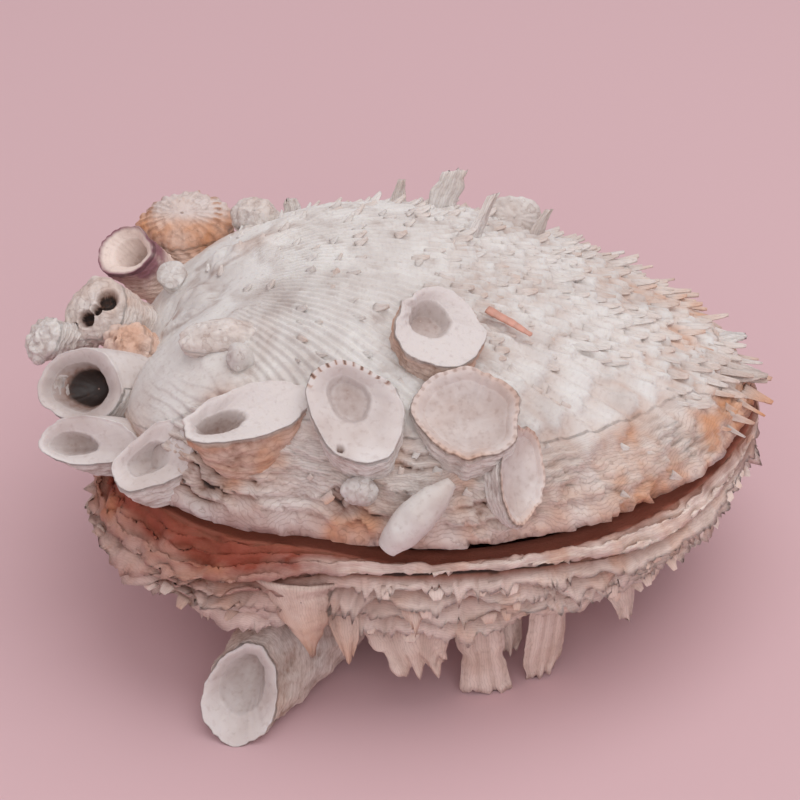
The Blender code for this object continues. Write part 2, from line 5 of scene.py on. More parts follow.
import bmesh
import bpy
import numpy as np
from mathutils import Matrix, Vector


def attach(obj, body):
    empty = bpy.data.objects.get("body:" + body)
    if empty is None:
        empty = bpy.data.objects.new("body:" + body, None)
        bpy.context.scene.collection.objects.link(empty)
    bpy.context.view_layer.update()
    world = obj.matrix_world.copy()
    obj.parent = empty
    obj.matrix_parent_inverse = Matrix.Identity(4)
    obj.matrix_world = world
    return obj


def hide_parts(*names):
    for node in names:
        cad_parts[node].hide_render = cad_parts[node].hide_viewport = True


bl_info = {
    "name": "Spiny Oyster Shell",
    "version": (1, 0, 0),
    "blender": (4, 5, 0),
    "location": "View3D > Sidebar > Oyster",
    "description": "Builds a closed spiny oyster shell with the growths on it",
    "category": "Add Mesh",
}

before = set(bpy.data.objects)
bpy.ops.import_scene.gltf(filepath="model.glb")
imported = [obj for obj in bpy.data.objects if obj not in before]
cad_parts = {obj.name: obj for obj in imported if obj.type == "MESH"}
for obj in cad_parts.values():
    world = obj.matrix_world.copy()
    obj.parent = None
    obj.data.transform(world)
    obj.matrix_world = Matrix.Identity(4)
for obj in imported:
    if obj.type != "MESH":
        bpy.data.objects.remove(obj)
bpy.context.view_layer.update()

MM = 0.001
# The same move that the solids get, so that the box's middle stands over the origin.
SHIFT = np.array((0.4, 4.4, 0.0))
CENTRE = np.array((8.0, -2.0))
RADII = (71, 68, 65, 62.5, 61, 62, 67, 72, 67, 72, 70, 61.5, 60, 60, 62.5, 67)
LEDGE = (1, 1, 2, 3, 3, 3, 3, 3, 4.5, 8, 8, 4, 2.5, 3, 4.6, 2.4)
TUCK = (0.8, 0.9, 1, 1, 1, 1, 1, 0.9, 0.5, 0.35, 0.6, 0.5, 0.4, 0.45, 0.85, 0.9)
UMBO = np.array((-50.0, 0.0))
LIP_Z = 45.0
DOME_RISE, HOLLOW_RISE = 36.0, 31.0
TAU = 2 * math.pi


# Shape helpers. Lengths are millimetres until a mesh is made.


def periodic(values, angle):
    """A smooth closed curve through values spaced evenly round the circle."""
    values = np.array(values, float)
    count = len(values)
    place = np.mod(angle, TAU) / TAU * count
    index = np.floor(place).astype(int)
    f = place - index
    a, b, c, d = (values[(index + k) % count] for k in (-1, 0, 1, 2))
    return 0.5 * (2 * b + (c - a) * f + (2 * a - 5 * b + 4 * c - d) * f**2 + (3 * b - a - 3 * c + d) * f**3)


def ramp(value, low, high):
    """0 below low, 1 above high, smooth between."""
    share = np.clip((value - low) / (high - low), 0, 1)
    return share * share * (3 - 2 * share)


def lattice(points, seed):
    """Smooth random values from -1 to 1 over space, one cell to a unit."""
    cell = np.floor(points).astype(np.int64)
    f = points - cell
    f = f * f * (3 - 2 * f)
    total = np.zeros(len(points))
    for corner in range(8):
        dx, dy, dz = corner & 1, corner >> 1 & 1, corner >> 2 & 1
        key = (cell[:, 0] + dx) * 73856093 ^ (cell[:, 1] + dy) * 19349663 ^ (cell[:, 2] + dz) * 83492791
        key = (key ^ seed * 2654435761) & 0xFFFFFFFF
        key = (key ^ key >> 15) * 2246822519 & 0xFFFFFFFF
        key = (key ^ key >> 13) * 3266489917 & 0xFFFFFFFF
        value = ((key ^ key >> 16) & 0xFFFF) / 32767.5 - 1
        weight = np.ones(len(points))
        for axis, bit in enumerate((dx, dy, dz)):
            weight = weight * (f[:, axis] if bit else 1 - f[:, axis])
        total += value * weight
    return total


def cloud(points, size, seed, octaves=3):
    """Layered random values, with the largest lumps size millimetres across."""
    total, share = np.zeros(len(points)), 1.0
    for octave in range(octaves):
        total += share * lattice(points * (2**octave / size) + 17.3 * octave, seed + octave)
        share *= 0.5
    return total


def saw(value, sharp=0.85):
    """A slow rise and a quick fall once to a unit, as overlapping layers have."""
    f = value - np.floor(value)
    return np.where(f < sharp, f / sharp, (1 - f) / (1 - sharp))


def edge_share(x, y):
    """Distance from the middle, in shares of the way to the upper valve's edge."""
    dx, dy = x - CENTRE[0], y - CENTRE[1]
    return np.hypot(dx, dy) / periodic(RADII, np.arctan2(dy, dx))


def dome_height(x, y):
    """Height of the smooth upper valve, without its relief. It flattens to the right."""
    flatter = 1 - 0.5 * ramp(x, -25, 75)
    return LIP_Z + DOME_RISE * flatter * (1 - np.minimum(edge_share(x, y), 1.0) ** 2.3) ** 0.62


def dome_normal(x, y):
    """The smooth upper valve's outward normal."""
    step = 0.5
    slope_x = (dome_height(x + step, y) - dome_height(x - step, y)) / (2 * step)
    slope_y = (dome_height(x, y + step) - dome_height(x, y - step)) / (2 * step)
    normal = np.stack([-slope_x, -slope_y, np.ones_like(slope_x)], 1)
    return normal / np.linalg.norm(normal, axis=1)[:, None]


def loop_quads(rows, columns, start=0):
    """Quads between rows of points that each run once round."""
    row, column = np.meshgrid(np.arange(rows - 1), np.arange(columns), indexing="ij")
    after = (column + 1) % columns
    a = start + row * columns
    quads = np.stack([a + column, a + columns + column, a + columns + after, a + after], 2)
    return quads.reshape(-1, 4)


def grid_normals(points, rows, columns):
    """Outward normals of a grid that closes on itself along its columns."""
    grid = points.reshape(rows, columns, 3)
    along = np.gradient(grid, axis=0)
    around = np.roll(grid, -1, 1) - np.roll(grid, 1, 1)
    normal = np.cross(along, around).reshape(-1, 3)
    length = np.linalg.norm(normal, axis=1)[:, None]
    return normal / np.maximum(length, 1e-9)


def new_object(name, points, quads, caps, finish, fields):
    """A smooth mesh object with its faces outwards, and one attribute for each field."""
    mesh = bpy.data.meshes.new(name)
    corners = [np.asarray(quads, np.int32).reshape(-1)] + [np.asarray(cap, np.int32) for cap in caps]
    sizes = np.array([4] * len(quads) + [len(cap) for cap in caps], np.int32)
    corners = np.concatenate(corners)
    mesh.vertices.add(len(points))
    mesh.vertices.foreach_set("co", np.asarray(points, np.float32).reshape(-1))
    mesh.loops.add(len(corners))
    mesh.loops.foreach_set("vertex_index", corners)
    mesh.polygons.add(len(sizes))
    mesh.polygons.foreach_set("loop_start", (np.cumsum(sizes) - sizes).astype(np.int32))
    mesh.update(calc_edges=True)
    for field, values in fields.items():
        set_field(mesh, field, values)
    work = bmesh.new()
    work.from_mesh(mesh)
    bmesh.ops.recalc_face_normals(work, faces=work.faces)
    work.to_mesh(mesh)
    work.free()
    mesh.shade_smooth()
    mesh.materials.append(finish)
    made = bpy.data.objects.new(name.replace(" ", "_"), mesh)
    bpy.context.scene.collection.objects.link(made)
    return made


def set_field(mesh, field, values, kind="FLOAT"):
    """Writes one value or vector for each point."""
    layer = mesh.attributes.get(field) or mesh.attributes.new(field, kind, "POINT")
    layer.data.foreach_set("value" if kind == "FLOAT" else "vector", np.asarray(values, np.float32).ravel())


def with_ends(fields, count, **ends):
    """The fields with the values of the last count points added. Dirt and shade, stain and tint are kept from 0 to 1.
    """
    full = {}
    for field, values in fields.items():
        last = np.broadcast_to(ends.get(field, 0.0), count)
        full[field] = np.concatenate([np.clip(values, 0, 1) if field in FIELDS[:3] else values, last])
    return full


def make_piece(title, surface, node_name, slot):
    """Builds a piece from a surface in millimetres with the slot's finish, and puts it in the place of the solid that
    it stands for.
    """
    points, quads, caps, fields = surface
    piece = new_object(title, (np.asarray(points, float) + SHIFT) * MM, quads, caps, finish_of(slot), fields)
    settle(piece, node_name)


def settle(piece, node_name):
    """Rides the one body and takes the place of its solid, which it hides."""
    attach(piece, "root")
    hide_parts(node_name)


def fan(centre, first, columns, flip=False):
    """Triangles from one point to a ring."""
    ring = [(centre, first + k, first + (k + 1) % columns) for k in range(columns)]
    return [tuple(reversed(face)) for face in ring] if flip else ring


# Finishes

# The first field carries dirt and painted shade: crevices, pits, undersides and feet darkened in the colour.
FIELDS = ("grime", "stain", "tint", "lines", "score")


def linear(code):
    """An sRGB hex colour as linear red, green, blue and alpha."""
    channels = [int(code[k : k + 2], 16) / 255 for k in (1, 3, 5)]
    return (*(c / 12.92 if c <= 0.04045 else ((c + 0.055) / 1.055) ** 2.4 for c in channels), 1)


def node(tree, kind, settings=None, links=None):
    """Adds a node, sets its fields and sockets, and joins its sockets to other nodes' outputs."""
    made = tree.nodes.new(kind)
    for key, value in (settings or {}).items():
        if isinstance(key, str) and hasattr(made, key):
            setattr(made, key, value)
        else:
            made.inputs[key].default_value = value
    for key, source in (links or {}).items():
        tree.links.new(source, made.inputs[key])
    return made


def shell_finish(name, base, stain, second, rough, coat, relief_mm):
    """Shell of layered calcite. base is its clean colour, and the crack brown fills what is low, as dirt and as painted
    shade (the field of dirt and shade).
    stain is the orange left on it (field stain), second a further tint (field tint). The fine grain in its bump
    is the chalky, bored surface that breaks up the light."""
    material = bpy.data.materials.new(name)
    material.use_nodes = True
    tree = material.node_tree
    shader = tree.nodes["Principled BSDF"]
    dark = tuple(bpy.context.scene.shell_colours.crack)
    noise, spread, maths, mix = "ShaderNodeTexNoise", "ShaderNodeMapRange", "ShaderNodeMath", "ShaderNodeMix"
    here, times, add = {"Vector": "place"}, {"operation": "MULTIPLY"}, {"operation": "ADD"}
    # What each step makes, its node, its settings, what it is linked to, and the output that the next ones use.
    # Inputs 1 and 2 of a map range are the span it reads, 3 and 4 the span it gives. A mix takes 6 under 7.
    steps = (
        ("place", "ShaderNodeTexCoord", {}, {}, "Object"),
        # Blotches 14 mm across, speckle 1.2 mm, the waver of the growth lines 3.5 mm and the chalk's grain 0.5 mm.
        ("blotch", noise, {"Scale": 1 / 0.014, "Detail": 3.0, "Roughness": 0.6}, here, "Fac"),
        ("speckle", noise, {"Scale": 1 / 0.0012, "Detail": 2.0}, here, "Fac"),
        ("waver", noise, {"Scale": 1 / 0.0035, "Detail": 3.0}, here, "Fac"),
        ("grain", noise, {"Scale": 1 / 0.0005, "Detail": 4.0, "Roughness": 0.65}, here, "Fac"),
        *((field, "ShaderNodeAttribute", {"attribute_name": field}, {}, "Fac") for field in FIELDS),
        # Clean shell, yellowed in blotches, then stained, tinted, and darkened with dirt and painted shade where the
        # fields say.
        ("old", spread, {1: 0.42, 2: 0.75, 4: 0.35}, {0: "blotch"}, 0),
        ("aged", mix, {"data_type": "RGBA", 6: base, 7: dark}, {0: "old"}, 2),
        ("patchy", spread, {1: 0.36, 2: 0.62, 3: 0.35}, {0: "blotch"}, 0),
        ("stain share", maths, times, {0: "stain", 1: "patchy"}, 0),
        ("stained", mix, {"data_type": "RGBA", 7: stain}, {0: "stain share", 6: "aged"}, 2),
        ("tinted", mix, {"data_type": "RGBA", 7: second}, {0: "tint", 6: "stained"}, 2),
        ("uneven", spread, {1: 0.3, 2: 0.7, 3: 0.7}, {0: "speckle"}, 0),
        ("grime share", maths, times, {0: "grime", 1: "uneven"}, 0),
        ("soiled_and_shaded", mix, {"data_type": "RGBA", 7: dark}, {0: "grime share", 6: "tinted"}, 2),
        # Painted shade: the bottoms of pits and bore holes, where the field of dirt and shade is near full, are made
        # nearly black.
        ("deep", spread, {1: 0.78, 2: 1.0}, {0: "grime"}, 0),
        ("bored", mix, {"data_type": "RGBA", 7: linear("#2A1C17")}, {0: "deep", 6: "soiled_and_shaded"}, 2),
        # Growth lines: the field lines counts them, the field score says how deep they are cut.
        ("shaken", spread, {1: 0.2, 2: 0.8, 4: 2.2}, {0: "waver"}, 0),
        ("count", maths, add, {0: "lines", 1: "shaken"}, 0),
        ("tooth", maths, {"operation": "FRACT"}, {0: "count"}, 0),
        ("seam", spread, {1: 0.0, 2: 0.3, 3: 0.32, 4: 0.0}, {0: "tooth"}, 0),
        ("seam share", maths, times, {0: "score", 1: "seam"}, 0),
        ("lined", mix, {"data_type": "RGBA", 7: dark}, {0: "seam share", 6: "bored"}, 2),
        ("specks", spread, {1: 0.56, 2: 0.74, 4: 0.16}, {0: "speckle"}, 0),
        ("colour", mix, {"data_type": "RGBA", 7: dark}, {0: "specks", 6: "lined"}, 2),
        ("roughness", spread, {1: 0.3, 2: 0.7, 3: rough - 0.08, 4: rough + 0.1}, {0: "speckle"}, 0),
        # Relief in mm: the grain, and growth lines cut up to 0.3 mm deep.
        ("grain height", spread, {4: relief_mm}, {0: "grain"}, 0),
        ("line depth", spread, {4: 0.3}, {0: "tooth"}, 0),
        ("line height", maths, times, {0: "score", 1: "line depth"}, 0),
        ("height", maths, add, {0: "grain height", 1: "line height"}, 0),
        ("normal", "ShaderNodeBump", {"Strength": 0.8, "Distance": MM}, {"Height": "height"}, "Normal"),
    )
    made = {}
    for title, kind, settings, links, output in steps:
        sources = {socket: made[source] for socket, source in links.items()}
        made[title] = node(tree, kind, settings, sources).outputs[output]
    for socket, source in (("Base Color", "colour"), ("Roughness", "roughness"), ("Normal", "normal")):
        tree.links.new(made[source], shader.inputs[socket])
    shader.inputs["IOR"].default_value = 1.55
    shader.inputs["Coat Weight"].default_value = coat
    shader.inputs["Subsurface Weight"].default_value = 0.08
    shader.inputs["Subsurface Radius"].default_value = (0.004, 0.003, 0.002)
    shader.inputs["Subsurface Scale"].default_value = 0.25
    return material


class ShellColours(bpy.types.PropertyGroup):
    """Colours of the shell's finishes and of the floor"""

    chalk: bpy.props.FloatVectorProperty(
        name="Chalk white", description="Clean worn shell", default=linear("#E4E2DF"),
        size=4, subtype="COLOR", min=0, max=1,
    )
    # Crack brown also serves as the painted shade in crevices, under layers and in pits.
    crack: bpy.props.FloatVectorProperty(
        name="Crack brown", description="Dirt between layers", default=linear("#80553F"),
        size=4, subtype="COLOR", min=0, max=1,
    )
    orange: bpy.props.FloatVectorProperty(
        name="Orange stain", description="Stain on spines and edges", default=linear("#DDA27A"),
        size=4, subtype="COLOR", min=0, max=1,
    )
    layers: bpy.props.FloatVectorProperty(
        name="Layer beige", description="Ragged layers", default=linear("#F0E0D7"),
        size=4, subtype="COLOR", min=0, max=1,
    )
    pearl: bpy.props.FloatVectorProperty(
        name="Lavender white", description="Insides of the cups", default=linear("#DCD6D4"),
        size=4, subtype="COLOR", min=0, max=1,
    )
    plum: bpy.props.FloatVectorProperty(
        name="Plum", description="The purple rim", default=linear("#8A5A66"),
        size=4, subtype="COLOR", min=0, max=1,
    )
    rust: bpy.props.FloatVectorProperty(
        name="Rust red", description="The gape and the hinge", default=linear("#984631"),
        size=4, subtype="COLOR", min=0, max=1,
    )
    salmon: bpy.props.FloatVectorProperty(
        name="Salmon", description="The pink splinter", default=linear("#DDA492"),
        size=4, subtype="COLOR", min=0, max=1,
    )
    floor: bpy.props.FloatVectorProperty(
        name="Floor", description="The pale floor", default=linear("#D9B7BC"),
        size=4, subtype="COLOR", min=0, max=1,
    )


class ShellSizes(bpy.types.PropertyGroup):
    """Sizes of what repeats on the valves"""

    rib_turns: bpy.props.IntProperty(name="Ribs", description="Ribs in a full turn round the umbo", default=150, min=1)
    rib_relief: bpy.props.FloatProperty(
        name="Rib height", description="Height of a rib", default=0.34 * MM, precision=5, unit="LENGTH"
    )
    spine_length: bpy.props.FloatProperty(
        name="Longest spine", description="Length of a spine", default=7.2 * MM, precision=5, unit="LENGTH"
    )
    spine_width: bpy.props.FloatProperty(
        name="Spine width", description="Width of a spine", default=1.75 * MM, precision=5, unit="LENGTH"
    )
    frill_length: bpy.props.FloatProperty(
        name="Prickle length", description="Length of a tier's prickle", default=3.0 * MM, precision=5, unit="LENGTH"
    )


# For each finish slot: material, clean colour, stain, further tint, roughness, coat, relief of the grain in mm.
FINISHES = {
    # Worn outer calcite, dull and bleached: a broad soft highlight only.
    "chalk_shell": ("Chalky weathered shell", "chalk", "orange", "plum", 0.72, 0.0, 0.16),
    # Thin layers broken at their edges: pinkish beige, brown where they part from dirt and painted shade, rust red in
    # the gape.
    "layered_shell": ("Layered ragged shell", "layers", "orange", "rust", 0.7, 0.0, 0.2),
    # The inside layer that the animal laid down smooth, with a faint wet-looking sheen.
    "porcelain_shell": ("Glazed jewel box shell", "pearl", "orange", "chalk", 0.5, 0.06, 0.03),
    # The outside of a jewel box that iron has soaked orange, still dull.
    "stained_shell": ("Orange stained shell", "layers", "orange", "pearl", 0.66, 0.0, 0.16),
    # A small bivalve, faded but for the plum round its rim.
    "purple_shell_wall": ("Plum rimmed shell", "layers", "orange", "plum", 0.66, 0.0, 0.16),
    # A worm's tube, laid down finer and smoother than the shell under it.
    "worm_chalk": ("Chalk worm tube", "chalk", "orange", "chalk", 0.6, 0.0, 0.06),
    # A splinter of fresher shell, with a little of its gloss left.
    "salmon_shell": ("Salmon pink shell", "salmon", "layers", "chalk", 0.45, 0.0, 0.04),
}


def finish_of(slot):
    """The slot's material, made the first time that it is asked for."""
    name, *keys, rough, coat, relief_mm = FINISHES[slot]
    if name not in bpy.data.materials:
        colours = bpy.context.scene.shell_colours
        shell_finish(name, *(tuple(getattr(colours, key)) for key in keys), rough, coat, relief_mm)
    return bpy.data.materials[name]


# Growths cemented on the valves, as in the solids but for where each hollow is deepest: centre, azimuth and
# elevation faced, half axes, roll, top (below 0 a hollow, above 0 a dome), shift of the hollow's floor, foot, radius
# of the foot.
GROWTHS = {
    "great_cup": ((-68.9, -18.0, 55.8), -105, 35, 9.7, 7.9, -161, -6.4, (0.12, 0.0), (-51, -10, 49), 6.5),
    "shelf_cup": ((-66.0, -32.5, 51.4), -105, 42, 10.9, 5.2, -170, -3.2, (0.45, 0.08), (-53, -24, 44.5), 4.5),
    "corner_cup": ((-50.1, -43.4, 55.4), -85, 48, 9.8, 6.2, -150, -4.0, (0.22, -0.15), (-43, -34, 50), 5.5),
    "long_cup": ((-30.8, -47.4, 69.0), -70, 62, 13.6, 6.2, -176, -4.4, (0.55, -0.04), (-28, -41, 58), 7.0),
    "middle_cup": ((-8.9, -49.2, 70.5), -85, 58, 12.1, 9.0, -73, -5.0, (-0.42, 0.0), (-7, -43, 57), 7.5),
    "upper_cup": ((8.2, -30.8, 78.7), -60, 60, 9.7, 9.1, 139, -3.6, (0.32, -0.32), (5, -26, 67), 7.5),
    "right_cup": ((13.8, -48.0, 69.4), -95, 60, 10.9, 10.1, -177, -3.4, (0.0, 0.0), (13, -42, 57), 8.0),
    "wing_shell": ((24.7, -55.2, 59.2), -45, 35, 10.3, 5.6, 59, -2.2, (0.0, 0.0), (18, -47, 53), 4.5),
    "rough_lump": ((-59.6, -5.6, 58.4), -130, 52, 6.0, 4.6, 170, 2.2, (0.0, 0.0), (-50, -3, 51), 4.0),
    "spotted_shell": ((-67.6, 5.0, 61.0), -120, 50, 7.4, 7.4, 0, 2.6, (0.0, 0.0), (-53, 9, 50), 5.0),
    "purple_shell": ((-62.5, 24.0, 64.6), -130, 52, 7.2, 6.2, 0, -3.0, (0.1, 0.1), (-49, 21, 53), 5.0),
    "rust_shell": ((-49.6, 35.0, 66.2), -100, 58, 10.8, 7.4, 10, 4.2, (0.0, 0.0), (-43, 29, 56), 6.0),
    "left_lump": ((-78.6, 0.0, 56.2), -150, 40, 4.4, 5.4, 0, 3.0, (0.0, 0.0), (-68, 4, 54), 3.0),
    "long_shell": ((-37.7, -24.6, 72.9), -80, 66, 9.4, 4.0, 178, 2.2, (0.0, 0.0), (-37, -22, 65), 4.0),
    "white_knob": ((-33.2, -32.2, 72.6), -75, 50, 3.0, 3.0, 0, 2.4, (0.0, 0.0), (-32, -30, 67), 2.4),
    "flat_disc": ((-51.2, 13.0, 65.2), -100, 60, 3.5, 3.4, 0, 0.8, (0.0, 0.0), (-48, 14, 59), 2.8),
    "beige_crust": ((-33.0, 30.0, 70.6), -90, 50, 5.4, 4.2, 0, 3.0, (0.0, 0.0), (-32, 31, 63), 4.0),
    "fan_shell": ((26.2, 37.0, 65.6), -80, 42, 7.0, 5.4, 0, 1.6, (0.0, 0.0), (25, 38, 58), 4.0),
    "white_lump": ((-8.2, -57.4, 56.6), -80, 40, 3.6, 3.1, 0, 2.2, (0.0, 0.0), (-7.5, -52, 52), 2.6),
    "bottom_cup": ((-33.6, -64.4, 8.2), -95, 40, 10.6, 8.1, -93, -5.6, (-0.3, 0.0), (-18, -40, 13), 12.5),
}
# For each: slot, pit's share of the rim, roughness of the outside in mm, stain outside, raggedness of the rim.
GROWTH_LOOKS = {
    "great_cup": ("porcelain_shell", 0.66, 0.5, 0.15, 0.03),
    "shelf_cup": ("porcelain_shell", 0.5, 0.5, 0.25, 0.04),
    "corner_cup": ("porcelain_shell", 0.5, 0.6, 0.3, 0.04),
    "long_cup": ("stained_shell", 0.4, 0.7, 0.8, 0.05),
    "middle_cup": ("porcelain_shell", 0.46, 0.6, 0.5, 0.03),
    "upper_cup": ("stained_shell", 0.48, 0.8, 1.0, 0.05),
    "right_cup": ("porcelain_shell", 0.75, 0.6, 0.7, 0.05),
    "wing_shell": ("porcelain_shell", 0.8, 0.6, 0.7, 0.07),
    "bottom_cup": ("porcelain_shell", 0.6, 0.7, 0.2, 0.05),
    "rough_lump": ("stained_shell", 0.0, 0.9, 0.9, 0.08),
    "spotted_shell": ("chalk_shell", 0.0, 0.7, 0.5, 0.05),
    "purple_shell": ("purple_shell_wall", 0.6, 0.6, 0.4, 0.05),
    "rust_shell": ("stained_shell", 0.0, 0.7, 1.0, 0.05),
    "left_lump": ("chalk_shell", 0.0, 0.9, 0.2, 0.08),
    "long_shell": ("chalk_shell", 0.0, 0.5, 0.5, 0.05),
    "white_knob": ("worm_chalk", 0.0, 0.3, 0.0, 0.04),
    "flat_disc": ("chalk_shell", 0.0, 0.15, 0.0, 0.02),
    "beige_crust": ("chalk_shell", 0.0, 1.0, 0.7, 0.1),
    "fan_shell": ("chalk_shell", 0.0, 0.08, 0.2, 0.03),
    "white_lump": ("worm_chalk", 0.0, 0.5, 0.0, 0.06),
}
CUPS = (
    "great_cup", "shelf_cup", "corner_cup", "long_cup", "middle_cup", "upper_cup", "right_cup", "wing_shell",
    "bottom_cup",
)
# A path and its radii.
WORM_TUBE = (
    ((10.4, -58.6, 59.4), (7.2, -61.0, 57.4), (3.4, -63.0, 54.4), (0.2, -64.2, 51.0), (-2.6, -64.6, 47.6)),
    (1.4, 3.1, 3.9, 3.6, 2.3),
)
PINK_SLIVER = (((18.4, -17.3, 74.8), (22.8, -19.6, 73.4), (27.6, -22.0, 71.4)), (1.2, 1.1, 0.7))
# Blades: stations from foot to tip, each with its place, width and thickness, then the way that the blade faces.
SHARD = (
    (((-22.0, -62.6, 36.2), 15.0, 2.4), ((-21.0, -63.4, 31.2), 12.5, 2.6), ((-19.4, -64.0, 25.0), 7.0, 2.2),
      ((-18.2, -64.4, 19.2), 1.6, 1.2)),
    (-0.15, -1.0, -0.25),
)
CREST_SPINES = (
    ((((8.6, 33.0, 66.0), 7.0, 3.0), ((10.0, 35.4, 72.0), 7.0, 2.2), ((13.0, 38.0, 78.6), 6.4, 1.6)), (0.1, -1, 0.5)),
    ((((-1.0, 36.0, 64.0), 4.0, 2.4), ((-0.6, 38.0, 69.6), 3.6, 2.0), ((0.4, 39.8, 74.6), 2.2, 1.2)), (0, -1, 0.5)),
    ((((15.0, 13.0, 70.0), 4.6, 4.0), ((17.6, 17.6, 75.4), 4.2, 3.0),
      ((21.2, 23.0, 80.2), 3.0, 1.6)), (0.6, -1, 0.7)),
    ((((30.0, 30.0, 62.0), 3.6, 3.0), ((32.4, 32.8, 67.0), 3.4, 2.2),
      ((34.4, 34.6, 69.6), 2.0, 1.2)), (0.3, -1, 0.5)),
    ((((-24.0, 36.0, 62.0), 6.0, 3.0), ((-24.8, 38.4, 66.6), 5.0, 2.2),
      ((-25.4, 39.8, 69.6), 3.2, 1.2)), (-0.1, -1, 0.5)),
    ((((70.0, -4.0, 50.0), 7.0, 3.4), ((76.0, -4.2, 50.6), 6.0, 2.6), ((81.6, -4.4, 49.4), 2.6, 1.4)), (0.3, 0, 1)),
    ((((68.0, 8.0, 50.0), 6.0, 3.4), ((74.0, 9.0, 51.4), 5.0, 2.4), ((78.6, 10.0, 50.8), 2.4, 1.4)), (0.3, 0, 1)),
)
FRONDS = (
    ((((-12.4, -55.0, 28.6), 6.0, 3.0), ((-12.0, -60.0, 25.6), 6.4, 2.6), ((-11.0, -62.0, 21.0), 5.0, 2.2),
      ((-10.6, -63.0, 16.4), 2.0, 1.4)), (0, -1, -0.3)),
    ((((0.0, -50.0, 26.0), 16.0, 3.4), ((1.0, -57.0, 22.4), 19.0, 3.0), ((2.0, -60.2, 16.4), 18.0, 2.4),
      ((4.0, -61.4, 10.4), 9.0, 1.4)), (0, -1, -0.4)),
    ((((15.0, -46.0, 24.0), 9.0, 4.0), ((16.4, -53.0, 18.0), 9.6, 3.4), ((18.0, -54.0, 9.0), 10.4, 3.0),
      ((18.8, -54.0, 0.0), 10.0, 3.0)), (0.1, -1, 0)),
    ((((22.4, -40.0, 22.0), 6.0, 3.0), ((23.4, -45.0, 16.0), 6.6, 2.6), ((24.0, -46.6, 9.0), 5.6, 2.2),
      ((24.0, -47.0, 4.6), 3.0, 1.4)), (0.2, -1, 0)),
    ((((32.0, -41.0, 24.0), 9.0, 4.0), ((32.4, -48.0, 19.0), 10.0, 3.4), ((31.4, -49.4, 9.0), 9.0, 3.0),
      ((30.6, -49.0, 0.0), 6.4, 3.0)), (0.4, -1, 0)),
    ((((2.4, -59.0, 32.6), 6.4, 3.0), ((2.8, -64.0, 30.0), 5.0, 2.2), ((3.2, -65.6, 25.6), 1.4, 1.2)), (0, -1, -0.3)),
    ((((46.0, -33.0, 22.0), 8.0, 4.0), ((49.0, -37.0, 15.0), 8.0, 3.0),
      ((50.0, -38.6, 7.6), 4.0, 1.8)), (0.8, -1, 0)),
    ((((-39.0, -38.0, 26.0), 9.0, 4.0), ((-41.6, -43.6, 20.0), 8.0, 3.0),
      ((-42.4, -45.4, 13.6), 4.0, 1.8)), (-0.5, -1, 0)),
    ((((38.0, 33.0, 22.0), 9.0, 4.0), ((40.0, 37.4, 12.0), 9.6, 3.4), ((40.4, 38.0, 0.0), 8.0, 3.2)), (0.8, 1, 0)),
    ((((6.0, 42.0, 22.0), 9.0, 4.0), ((6.0, 47.0, 14.0), 9.0, 3.2), ((6.0, 48.4, 6.0), 5.0, 2.0)), (0, 1, 0)),
    ((((-33.0, 34.0, 22.0), 9.0, 4.0), ((-36.0, 39.0, 12.0), 9.6, 3.4),
      ((-36.6, 40.0, 0.0), 8.0, 3.2)), (-0.8, 1, 0)),
    ((((60.0, 2.0, 24.0), 9.0, 4.0), ((65.0, 2.4, 17.0), 8.0, 3.2), ((66.4, 2.6, 10.0), 4.0, 1.8)), (1, 0, 0)),
    ((((-43.0, 8.0, 25.0), 9.0, 4.0), ((-51.0, 9.0, 19.0), 8.0, 3.2), ((-54.0, 9.4, 12.0), 4.0, 1.8)), (-1, 0.1, 0)),
)


def growth_spots():
    """Centre and reach of everything that spines keep clear of."""
    spots = []
    for centre, _, _, a, b, _, _, _, foot, foot_radius in GROWTHS.values():
        spots.append((*centre, max(a, b) + 0.6))
        spots.append((*foot, foot_radius + 5.0))
    for path, radii in (WORM_TUBE, PINK_SLIVER):
        spots += [(*p, max(radii) + 1.2) for p in path]
    return np.array(spots)


def is_clear(points):
    """True at the points that no growth stands on."""
    clear = np.ones(len(points), bool)
    for x, y, z, reach in growth_spots():
        clear &= np.linalg.norm(points - (x, y, z), axis=1) > reach
    return clear


# The upper valve


def front_band(x, y):
    """1 on the layered band along the front lip, 0 on the rest."""
    return ramp(edge_share(x, y), 0.74, 0.9) * ramp(-y, 8, 34)


UPPER_COLUMNS, UPPER_STEPS = 520, 150
# Bore holes along the front: place and reach in mm. All but the smallest are painted dark inside as shade.
VALVE_HOLES = ((-9.4, -57.0, 56.0, 2.1), (-12.6, -60.5, 49.0, 1.1), (-16.0, -44.6, 66.0, 1.3), (4.0, -55.5, 59.0, 1.0))


